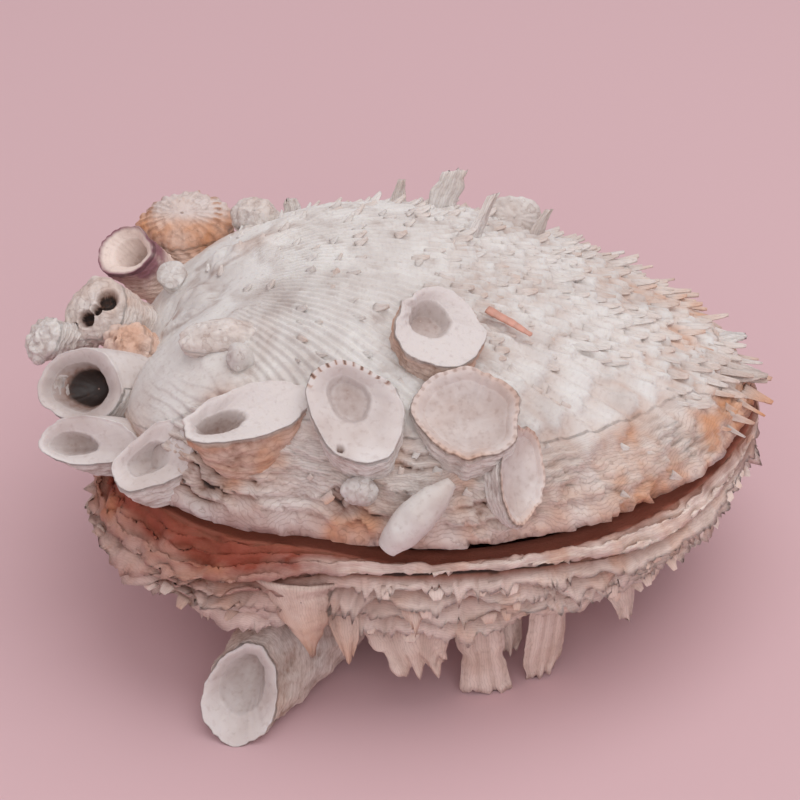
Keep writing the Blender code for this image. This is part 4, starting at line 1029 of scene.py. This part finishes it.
def fluted_blade(stations, outward, seed, flutes, ragged, blunt=0.55):
    """Points, quads, caps and fields of a curved blade with flutes along it and a torn tip."""
    outward = np.array(outward, float)
    outward /= np.linalg.norm(outward)
    across = np.cross(outward, (0, 0, 1))
    across /= np.linalg.norm(across)
    spots, widths, thicks = (np.array([station[k] for station in stations], float) for k in range(3))
    last = len(stations) - 1
    least = widths.max() * (blunt if widths.max() > 8 else 0.2)
    back = (spots[0] - spots[-1]) / np.linalg.norm(spots[0] - spots[-1])
    u = np.linspace(-1, 1, BLADE_COLUMNS)
    u = np.concatenate([u, u[::-1]])
    face = np.repeat([1.0, -1.0], BLADE_COLUMNS)
    flute = np.cos(u * math.pi * flutes)
    rim = np.sqrt(np.clip(1 - np.abs(u) ** 6, 0, 1))

    def at(place, values):
        return np.array([np.interp(place, range(last + 1), column) for column in np.atleast_2d(values.T)]).squeeze()

    rows, along = [], []
    for i in range(BLADE_STEPS):
        t = i / (BLADE_STEPS - 1)
        place = t * last
        base = at(place, spots)
        # Eased with its neighbours, so the blade bends rather than kinks.
        if 0 < i < BLADE_STEPS - 1:
            base = 0.6 * base + 0.2 * (at(max(place - 0.5, 0), spots) + at(min(place + 0.5, last), spots))
        width = max(at(place, widths), least) if t > 0.5 else at(place, widths)
        thick = max(0.35 * at(place, thicks), 0.55)
        bow = -1.3 * (u**2) * (width / 12)
        local = cloud(np.column_stack([u * 2.2, 0 * u + t * 2.5, 0 * u + seed]), 0.8, 400 + seed, 3)
        uneven = 0.08 * np.sin(9 * t + seed) + 0.10 * cloud(np.full((1, 3), t * 6.0) + seed, 1.0, 410 + seed, 2)[0]
        offset = bow + flute * 0.26 * (0.35 + 0.65 * t) + 0.30 * local + face * thick * 0.5 * (0.25 + 0.75 * rim)
        ring = base + across * (u * width * 0.5 * (1 + uneven))[:, None] + outward * offset[:, None]
        # The tip is torn unevenly: points near it are pulled back along the blade.
        beat = u * width / 7.5 + 0.5 * cloud(np.column_stack([u * 3.1, 0 * u, 0 * u + seed]), 1.4, 420 + seed, 2)
        tear = ragged * (1 - np.abs(2 * (beat % 1.0) - 1)) ** 1.3 * ramp(t, 0.45, 1.0)
        rows.append(ring + back * tear[:, None])
        along.append(t + 0.15 * local)
    points = np.concatenate(rows)
    points[:, 2] = np.maximum(points[:, 2], 0.0)
    along = np.concatenate(along)
    columns = 2 * BLADE_COLUMNS
    # Dirt and painted shade in the grooves of the flutes and towards the foot.
    fields = {
        "grime": np.clip(0.25 + 0.3 * ramp(-np.tile(flute, BLADE_STEPS), 0, 1) - 0.25 * along, 0, 1),
        "stain": np.clip(0.1 + 0.55 * along, 0, 1), "tint": np.zeros(len(points)),
        "lines": np.tile(u, BLADE_STEPS) * widths.max() / 1.3, "score": np.full(len(points), 0.75),
    }
    return points, loop_quads(BLADE_STEPS, columns), end_caps(BLADE_STEPS, columns), fields


def blades_surface(table, seed, flutes_of, ragged_of, stain_of, soil_and_shade_amount):
    """One surface of many fluted blades: flutes and raggedness follow a blade's width, its stain its number."""
    surfaces = []
    for number, (stations, outward) in enumerate(table):
        width = max(station[1] for station in stations)
        points, quads, caps, fields = fluted_blade(stations, outward, seed + number, flutes_of(width), ragged_of(width))
        fields["stain"] = np.clip(fields["stain"] * stain_of(number), 0, 1)
        fields["grime"] = fields["grime"] * soil_and_shade_amount
        start = number * len(points)
        surfaces.append((points, quads + start, [tuple(start + c for c in cap) for cap in caps], fields))
    points, quads, caps, fields = zip(*surfaces)
    fields = {field: np.concatenate([each[field] for each in fields]) for field in FIELDS}
    return np.concatenate(points), np.concatenate(quads), sum(caps, []), fields


# Growths


def facing_axes(azimuth, elevation):
    """The way that a growth faces, and two axes square to it, the first level."""
    a, e = math.radians(azimuth), math.radians(elevation)
    normal = np.array((math.cos(a) * math.cos(e), math.sin(a) * math.cos(e), math.sin(e)))
    across = np.array((-normal[1], normal[0], 0.0))
    across /= np.linalg.norm(across)
    return normal, across, np.cross(normal, across)


# How far the wall bulges down under the rim's lower side, mm.
SKIRTS = {
    "great_cup": 5.0, "shelf_cup": 5.0, "corner_cup": 9.0, "long_cup": 11.0, "middle_cup": 4.0, "upper_cup": 6.0,
    "right_cup": 5.0, "wing_shell": 3.0, "bottom_cup": 0.0,
}

# Depth of a cup's pit in mm and how strong the painted shade in it is.
PITS = {
    "great_cup": (8.5, 1.6), "shelf_cup": (5.5, 0.6), "corner_cup": (6.5, 0.45), "long_cup": (7.0, 0.8),
    "middle_cup": (6.0, 0.6), "upper_cup": (7.0, 0.65), "right_cup": (3.6, 0.25), "wing_shell": (2.4, 0.2),
    "bottom_cup": (8.0, 0.45), "purple_shell": (8.0, 0.8),
}

# Bore holes, cut in and painted dark inside as shade: growth, place on the rim's plane in shares of the half axes, and
# radius mm.
BORE_HOLES = {
    "spotted_shell": ((0.42, 0.32, 2.7), (0.02, -0.45, 2.2), (0.25, -0.08, 1.5), (-0.3, -0.75, 1.1)),
    "purple_shell": ((0.1, 0.1, 0.9),),
    "middle_cup": ((0.55, -0.65, 0.9),),
    "rough_lump": ((0.3, 0.2, 0.8),),
}


WALL_STEPS = 38


def growth_surface(name):
    """Points, quads, caps and fields of one growth: its hollow or dome, its rim, and its wall down to the foot."""
    number = list(GROWTHS).index(name)
    centre, azimuth, elevation, a, b, roll, top, floor_shift, foot, foot_radius = GROWTHS[name]
    slot, pit, roughness, stain_share, ragged = GROWTH_LOOKS[name]
    normal, across, upward = facing_axes(azimuth, elevation)
    r = math.radians(roll)
    major = across * math.cos(r) + upward * math.sin(r)
    minor = np.cross(normal, major)
    centre, foot = np.array(centre, float), np.array(foot, float)
    phases = np.random.default_rng(number).uniform(0, TAU, 3)
    size = math.sqrt(a * b)
    columns = int(np.clip(16 * size, 80, 170))
    w = np.arange(columns) * TAU / columns
    wobble = 1 + 0.045 * np.sin(2 * w + phases[0]) + 0.035 * np.sin(3 * w + phases[1])
    wobble += 0.02 * np.sin(5 * w + phases[2])
    circle = np.column_stack([np.cos(w), np.sin(w), 0 * w])
    torn = cloud(circle * 2.0, 0.55, 500 + number, 4)
    wobble = wobble * (1 + ragged * torn)
    arm = major[None] * np.cos(w)[:, None] * a + minor[None] * np.sin(w)[:, None] * b
    rows, kinds, falls = [], [], []

    def add(scale, along, kind, shift=(0.0, 0.0), lift=0.0 * torn):
        """One ring: its size in shares of the rim, how far above the rim's plane, and which part it belongs to."""
        ring = centre + arm * (wobble * scale)[:, None]
        ring = ring + major * a * shift[0] + minor * b * shift[1] + normal * max(along, shelf_low)
        ring = ring + pit_way * (shelf_low - min(along, shelf_low))
        rows.append(ring + normal * lift[:, None])
        kinds.append(kind)
        falls.append(along)

    edge = 0.35 + 0.25 * torn
    # A pit runs on towards the foot, so it stays within the wall.
    shelf_low = min(top, 0.0) * 0.42 - 0.5
    pit_way = 0.45 * -normal + 0.75 * (foot - centre) / np.linalg.norm(foot - centre)
    pit_way /= np.linalg.norm(pit_way)
    if top < 0:
        # Deep pit, then the flatter shelf that rings it, then the rim.
        depth_in, pit_shade_strength = PITS[name]
        for s in np.linspace(0.04, 1, 18):
            fall = top * 0.42 - (depth_in + top * 0.42) * (1 - s**2.4)
            add(pit * s, fall, 0.0, (floor_shift[0] * (1 - 0.25 * s), floor_shift[1] * (1 - 0.25 * s)))
        for s in np.linspace(0, 1, 16)[1:]:
            fall = top * 0.42 * (1 - s) ** 1.5 - 0.12 * (1 - s)
            shift = (floor_shift[0] * 0.75 * (1 - s), floor_shift[1] * 0.75 * (1 - s))
            add(pit + (0.93 - pit) * s, fall, 1.0 + s, shift)
        add(0.965, 0.0, 2.2, lift=0.42 * edge)
        add(0.99, 0.0, 2.5, lift=0.7 * edge)
        add(1.01, -0.35, 2.7, lift=0.5 * edge)
    else:
        for s in np.linspace(0.04, 1, 30):
            add(s, top * (1 - s**2.4) ** 0.8, 2.7)
    line = (centre - foot) / np.linalg.norm(centre - foot)
    facing = (normal + line) / np.linalg.norm(normal + line)
    rotation = np.array(Vector(normal).rotation_difference(Vector(facing)).to_matrix())
    foot_ring = foot + (major[None] * np.cos(w)[:, None] + minor[None] * np.sin(w)[:, None]) @ rotation.T * foot_radius
    rim = centre + arm * wobble[:, None] - normal * 0.5
    depth = float(np.linalg.norm(centre - foot))
    body = 0.7 * rim + 0.3 * foot_ring - normal * 0.8
    # The left cups run into each other: smooth on their upper side.
    fused = name in ("great_cup", "shelf_cup", "corner_cup", "long_cup")
    high = arm[:, 2] / np.abs(arm[:, 2]).max()
    if fused:
        body = body + np.array((0.3, 0.1, 0.5)) * (2.5 * np.clip(high, 0, 1))[:, None]
    body = body + np.array((0, -0.25, -1.0)) * (SKIRTS.get(name, 0.0) * np.clip(-high, 0, 1))[:, None]
    for t in np.linspace(0, 1, WALL_STEPS)[1:]:
        rows.append((1 - t) ** 2 * rim + 2 * t * (1 - t) * body + t * t * foot_ring)
        kinds.append(3.0 + t)
        falls.append(0.0)
    points = np.concatenate(rows)
    total = len(rows)
    grid_n = grid_normals(points, total, columns)
    away = points - (centre + foot) / 2
    if np.sum(grid_n * away) < 0:
        grid_n = -grid_n
    kind = np.repeat(kinds, columns)
    angle = np.tile(w, total)
    wall = ramp(kind, 2.45, 2.9)
    if fused:
        wall = wall * (1 - 0.85 * np.tile(ramp(high, -0.15, 0.35), total))
    rough = cloud(points, 3.0, 520 + number, 4)
    scales = cloud(points, 6.0, 560 + number, 2)
    # Growth lines run round the wall, each a low torn step.
    down = (kind - 3.0) * depth
    lines = saw((down + 0.9 * rough + 0.6 * np.sin(3 * angle + phases[2])) / 1.7, 0.8)
    height = wall * (roughness * 0.75 * rough + 0.62 * roughness * (lines - 0.5)) * ramp(kind, 2.6, 3.02)
    if top >= 0:
        rings = saw((np.linalg.norm(points - centre, axis=1) + 0.5 * rough) / 1.5, 0.8)
        flat_top = 1 - ramp(kind, 2.7, 3.0)
        height += flat_top * (0.4 * roughness * rough + 0.3 * roughness * (rings - 0.5))
    out_from = np.linalg.norm(points - centre, axis=1) / size
    ribbed = ramp(np.cos(angle * 24 + 1.5 * rough), -0.2, 0.8) * ramp(out_from, 0.5, 0.85)
    if name == "rust_shell":
        height += 0.45 * (ribbed - 0.5) * (1 - ramp(kind, 2.75, 3.3))
    if name == "fan_shell":
        height += 0.08 * np.cos(angle * 16) * ramp(out_from, 0.3, 0.7) * (1 - ramp(kind, 2.7, 3.1))
    if name in ("rough_lump", "left_lump"):
        height += 0.9 * np.abs(cloud(points, 2.0, 590, 2)) * (1 - ramp(kind, 2.9, 3.2))
    # A faint wave in the porcelain, so its highlights bend.
    height += (1 - wall) * (top < 0) * 0.10 * cloud(points, 4.5, 575 + number, 2)
    holes = np.zeros(len(points))
    for u, v, radius in BORE_HOLES.get(name, ()):
        spot = centre + major * a * u + minor * b * v + normal * max(top, 0) * (1 - (u * u + v * v) ** 1.2) ** 0.8
        holes = np.maximum(holes, ramp(radius - np.linalg.norm(points - spot, axis=1), 0, 0.6))
    height -= 3.0 * holes
    points = points + grid_n * height[:, None]
    points[:, 2] = np.maximum(points[:, 2], 0.0)
    if top < 0:
        # A pit never cuts down to the valve under it.
        share = np.hypot(points[:, 0] - CENTRE[0], points[:, 1] - CENTRE[1])
        bearing = np.arctan2(points[:, 1] - CENTRE[1], points[:, 0] - CENTRE[0])
        above = (kind < 2.05) & (share < periodic(RADII, bearing) - 1) & (points[:, 2] > LIP_Z)
        bed = dome_height(points[:, 0], points[:, 1]) + 1.2 + 0.5 * (kind < 1.2)
        points[:, 2] = np.where(above, np.maximum(points[:, 2], bed), points[:, 2])
    # Dirt and painted shade in the wall's growth-line steps and low spots, and painted shade in the bore holes.
    grime = wall * (0.30 * (1 - lines) + 0.30 * ramp(-rough, 0.1, 0.7)) + 1.2 * holes
    stain = wall * stain_share * (0.5 + 0.6 * ramp(scales, -0.3, 0.5))
    if top < 0:
        # Painted shade darkens the pit as it sinks, and a darker line runs along the step at its edge.
        sunk = np.clip(-np.repeat(falls, columns) / depth_in, 0, 1) ** 1.3
        grime += (1 - ramp(kind, 0.0, 0.6)) * sunk * pit_shade_strength + 0.3 * (np.abs(kind - 1.0) < 0.06)
        stain += 0.05 * ramp(kind, 0.5, 1.0) * (1 - ramp(kind, 1.9, 2.3))
    if name == "bottom_cup":
        grime, stain = grime + 0.2 * wall, stain + 0.35 * wall
    tint = np.zeros(len(points))
    if top < 0 and slot == "stained_shell":
        tint = 0.9 * (1 - wall)
    if slot == "porcelain_shell":
        tint = (0.3 if name == "bottom_cup" else 0.85) * wall
    if name == "purple_shell":
        tint = ramp(kind, 1.7, 2.2) * (1 - ramp(kind, 3.15, 3.5)) * (0.6 + 0.4 * ramp(rough, -0.4, 0.4))
    if name == "rust_shell":
        beads = ribbed * ramp(np.sin(out_from * 15), 0.1, 0.7)
        grime, stain = 0.4 * grime + 0.5 * beads, 0.75 + 0.3 * ramp(rough, -0.3, 0.5)
        tint = 0.8 * (1 - beads) * ramp((points - centre)[:, 2] / size, 0.1, 0.4)
    if name in ("upper_cup", "long_cup"):
        grime = grime + 0.25 * wall
    if name == "middle_cup":
        # Red-brown dots in a row on the far edge of the rim.
        world_up = np.array((0, 0.55, 0.83))
        top_edge = ramp((points - centre) @ world_up / max(a, b), 0.25, 0.5)
        dots = ramp(np.cos(angle * 30), 0.35, 0.8) * ramp(kind, 1.84, 1.95) * (1 - ramp(kind, 2.75, 3.0))
        grime = grime + 0.9 * dots * top_edge
        stain = stain + 0.8 * dots * top_edge
    if name in ("right_cup", "wing_shell"):
        dots = ramp(np.cos(angle * 34), 0.1, 0.7) * ramp(kind, 1.9, 2.0) * (1 - ramp(kind, 2.8, 3.1))
        grime = grime + 0.4 * dots + 0.16 * (1 - wall) * ramp(rough, -0.6, 0.6)
        stain = stain + 0.35 * ramp(kind, 1.6, 2.4) + 0.15 * (1 - wall)
    first = points[:columns].mean(axis=0)
    points = np.concatenate([points, [first, foot - line]])
    from_centre = np.linalg.norm(points[:-2] - centre, axis=1)
    fields = {
        "grime": grime, "stain": stain, "tint": tint,
        "lines": np.where(wall > 0.5, down / 0.7, from_centre / 0.9),
        "score": np.where(wall > 0.5, 0.85, 0.35 if top >= 0 else 0.03),
    }
    fields = with_ends(fields, 2, grime=(0.25, 0.3))
    caps = fan(total * columns, 0, columns) + fan(total * columns + 1, (total - 1) * columns, columns, True)
    return points, loop_quads(total, columns), caps, fields


def grow(name):
    """Builds one growth as its own piece."""
    title = name.replace("_", " ").capitalize()
    make_piece(title, growth_surface(name), name, GROWTH_LOOKS[name][0])


def tube_surface(path, radii, flat, seed, rough, ring_step):
    """Points, quads, caps and fields of a bent tube with growth rings, closed at both ends."""
    path, radii = np.array(path, float), np.array(radii, float)
    steps, columns = 60, 40
    place = np.linspace(0, len(path) - 1, steps)
    index = np.arange(len(path))

    def smooth(at):
        at = np.clip(at, 0, len(path) - 1)
        return np.column_stack([np.interp(at, index, path[:, c]) for c in range(3)])

    spots = (smooth(place) * 2 + smooth(place - 0.35) + smooth(place + 0.35)) / 4
    spots[0], spots[-1] = path[0], path[-1]
    width = np.interp(place, index, radii)
    ahead = np.gradient(spots, axis=0)
    ahead /= np.linalg.norm(ahead, axis=1)[:, None]
    side = np.cross(ahead, (0, 0, 1.0))
    side /= np.linalg.norm(side, axis=1)[:, None]
    over = np.cross(side, ahead)
    w = np.arange(columns) * TAU / columns
    run = np.concatenate([[0], np.cumsum(np.linalg.norm(np.diff(spots, axis=0), axis=1))])
    rows, dark = [], []
    for k in range(steps):
        ring = side[k][None] * np.cos(w)[:, None] + over[k][None] * flat * np.sin(w)[:, None]
        spot = spots[k] + ring * width[k]
        wrinkle = saw(np.array([run[k] / ring_step]), 0.7)[0] - 0.5
        bump = rough * (0.6 * wrinkle + cloud(spot, 2.2, seed, 3))
        rows.append(spot + ring * bump[:, None])
        # Darker in the troughs of the growth rings, as dirt and painted shade.
        dark.append(np.clip(0.12 - 0.3 * wrinkle + 0.2 * bump, 0, 1))
    points = np.concatenate(rows)
    first = rows[0].mean(axis=0)
    last = rows[-1].mean(axis=0) + ahead[-1] * radii[-1] * 0.4
    points = np.concatenate([points, [first, last]])
    dark = np.concatenate([*dark, (0.2, 0.2)])
    fields = {"grime": dark, "stain": 0.3 * dark, "tint": 0 * dark}
    caps = fan(steps * columns, 0, columns) + fan(steps * columns + 1, (steps - 1) * columns, columns, True)
    return points, loop_quads(steps, columns), caps, fields


def hanging_fringe():
    """Shorter torn blades that hang under the back and sides, between the fronds: stations and way out of each."""
    rng = np.random.default_rng(31)
    table = []
    for bearing in np.arange(-28, 212, 15.0):
        a = math.radians(bearing + rng.uniform(-4, 4))
        out = np.array((math.cos(a), math.sin(a)))
        base = float(lower_radius(np.array([a]))[0])
        width, low = rng.uniform(8, 14), rng.uniform(8, 14)
        # From the foot to the tip: share of the way out, height, share of the width, thickness.
        shape = ((0.66, 24.0, 0.9, 3.4), (0.77, 19.0, 1.0, 2.6), (0.80, low + 3, 0.9, 2.0), (0.79, low - 2, 0.5, 1.4))
        stations = tuple(((*(CENTRE + out * base * far), z), width * wide, thick) for far, z, wide, thick in shape)
        table.append((stations, (*out, -0.2)))
    return tuple(table)


# Operators: one for each piece or group of like pieces, and one for the stage


class SHELL_OT_upper(bpy.types.Operator):
    """Build the upper valve and the big flat spines of its crest and far edge"""

    bl_idname = "shell.upper"
    bl_label = "Upper valve"

    def execute(self, context):
        crest = blades_surface(
            CREST_SPINES, 40, lambda w: 2.5 if w > 5 else 1.5, lambda w: 1.2 if w > 5 else 0.3,
            lambda number: 0.25, 0.25,
        )
        make_piece("Upper valve", upper_surface(), "upper_valve", "chalk_shell")
        make_piece("Crest spines", crest, "upper_valve", "chalk_shell")
        return {"FINISHED"}


class SHELL_OT_lower(bpy.types.Operator):
    """Build the lower valve with its torn tiers, the fronds that it stands on and the hanging shard"""

    bl_idname = "shell.lower"
    bl_label = "Lower valve"

    def execute(self, context):
        fronds = blades_surface(
            FRONDS + hanging_fringe(), 60, lambda w: 2.5 if w > 12 else 3.5 if w > 8 else 1.5,
            lambda w: 1.6 if w < 12 else 3.4, lambda number: 0.8 if number in (0, 5) else 0.35, 0.7,
        )
        make_piece("Lower valve", lower_surface(), "lower_valve", "layered_shell")
        make_piece("Fronds", fronds, "lower_valve", "layered_shell")
        make_piece("Hanging shard", fluted_blade(*SHARD, 90, 1.0, 0.8, 0.1), "hanging_shard", "stained_shell")
        return {"FINISHED"}


class SHELL_OT_cups(bpy.types.Operator):
    """Build the open jewel box cups cemented on the valves"""

    bl_idname = "shell.cups"
    bl_label = "Jewel box cups"

    def execute(self, context):
        for name in CUPS:
            grow(name)
        return {"FINISHED"}


class SHELL_OT_small(bpy.types.Operator):
    """Build the small growths, the worm tube and the pink sliver"""

    bl_idname = "shell.small"
    bl_label = "Small growths"

    def execute(self, context):
        for name in GROWTHS:
            if name not in CUPS:
                grow(name)
        make_piece("Worm tube", tube_surface(*WORM_TUBE, 1.0, 700, 0.14, 30.0), "worm_tube", "worm_chalk")
        make_piece("Pink sliver", tube_surface(*PINK_SLIVER, 0.5, 710, 0.12, 2.4), "pink_sliver", "salmon_shell")
        return {"FINISHED"}


class SHELL_OT_stage(bpy.types.Operator):
    """Lay the floor and set the light and the camera"""

    bl_idname = "shell.stage"
    bl_label = "Stage"

    def execute(self, context):
        scene = context.scene
        # Matt pale pink paper under the shell: no shine, the colour of the photograph's ground.
        paper = bpy.data.materials.new("Pale pink paper")
        paper.use_nodes = True
        shader = paper.node_tree.nodes["Principled BSDF"]
        shader.inputs["Base Color"].default_value = tuple(scene.shell_colours.floor)
        shader.inputs["Roughness"].default_value = 0.9
        corners = [(-2.5, -2.5, 0), (2.5, -2.5, 0), (2.5, 2.5, 0), (-2.5, 2.5, 0)]
        new_object("Floor", corners, [(0, 1, 2, 3)], [], paper, {})
        world = scene.world or bpy.data.worlds.new("Room")
        scene.world = world
        world.use_nodes = True
        back = world.node_tree.nodes["Background"]
        back.inputs["Color"].default_value = linear("#E4DADC")
        back.inputs["Strength"].default_value = 0.68
        scene.view_settings.view_transform = "Standard"
        target = Vector((0.0004, 0.0044, 0.040))
        # A broad soft light overhead, and a lower one from the front that opens the shadow under the lip.
        for title, spot, size, power in (
            ("Key light", (0.20, 0.06, 0.93), 1.0, 3.8),
            ("Fill light", (0.12, -1.05, 0.75), 1.2, 3.9),
        ):
            light = bpy.data.lights.new(title, "AREA")
            light.shape, light.size, light.energy = "DISK", size, power
            lamp = bpy.data.objects.new(title, light)
            lamp.location = spot
            lamp.rotation_euler = (target - Vector(spot)).to_track_quat("-Z", "Y").to_euler()
            scene.collection.objects.link(lamp)
        camera = bpy.data.objects.new("Camera", bpy.data.cameras.new("Camera"))
        camera.data.lens, camera.data.sensor_width = 112.0, 36.0
        camera.location = (0.0004, -0.4599, 0.3531)
        camera.rotation_euler = (target - camera.location).to_track_quat("-Z", "Y").to_euler()
        scene.collection.objects.link(camera)
        scene.camera = camera
        return {"FINISHED"}


OPERATORS = (
    SHELL_OT_upper, SHELL_OT_spines, SHELL_OT_lower, SHELL_OT_prickles, SHELL_OT_cups, SHELL_OT_small, SHELL_OT_stage,
)


class SHELL_PT_panel(bpy.types.Panel):
    """Operators, colours and sizes of the shell"""

    bl_label = "Spiny Oyster Shell"
    bl_idname = "SHELL_PT_panel"
    bl_space_type = "VIEW_3D"
    bl_region_type = "UI"
    bl_category = "Oyster"

    def draw(self, context):
        for operator in OPERATORS:
            self.layout.operator(operator.bl_idname)
        for group in (context.scene.shell_colours, context.scene.shell_sizes):
            for name in group.__annotations__:
                self.layout.prop(group, name)


CLASSES = (ShellColours, ShellSizes, *OPERATORS, SHELL_PT_panel)


def register():
    for one in CLASSES:
        bpy.utils.register_class(one)
    bpy.types.Scene.shell_colours = bpy.props.PointerProperty(type=ShellColours)
    bpy.types.Scene.shell_sizes = bpy.props.PointerProperty(type=ShellSizes)


def unregister():
    del bpy.types.Scene.shell_sizes
    del bpy.types.Scene.shell_colours
    for one in reversed(CLASSES):
        bpy.utils.unregister_class(one)


def main():
    register()
    for operator in OPERATORS:
        getattr(bpy.ops.shell, operator.bl_idname.split(".")[1])()


if __name__ == "__main__":
    main()
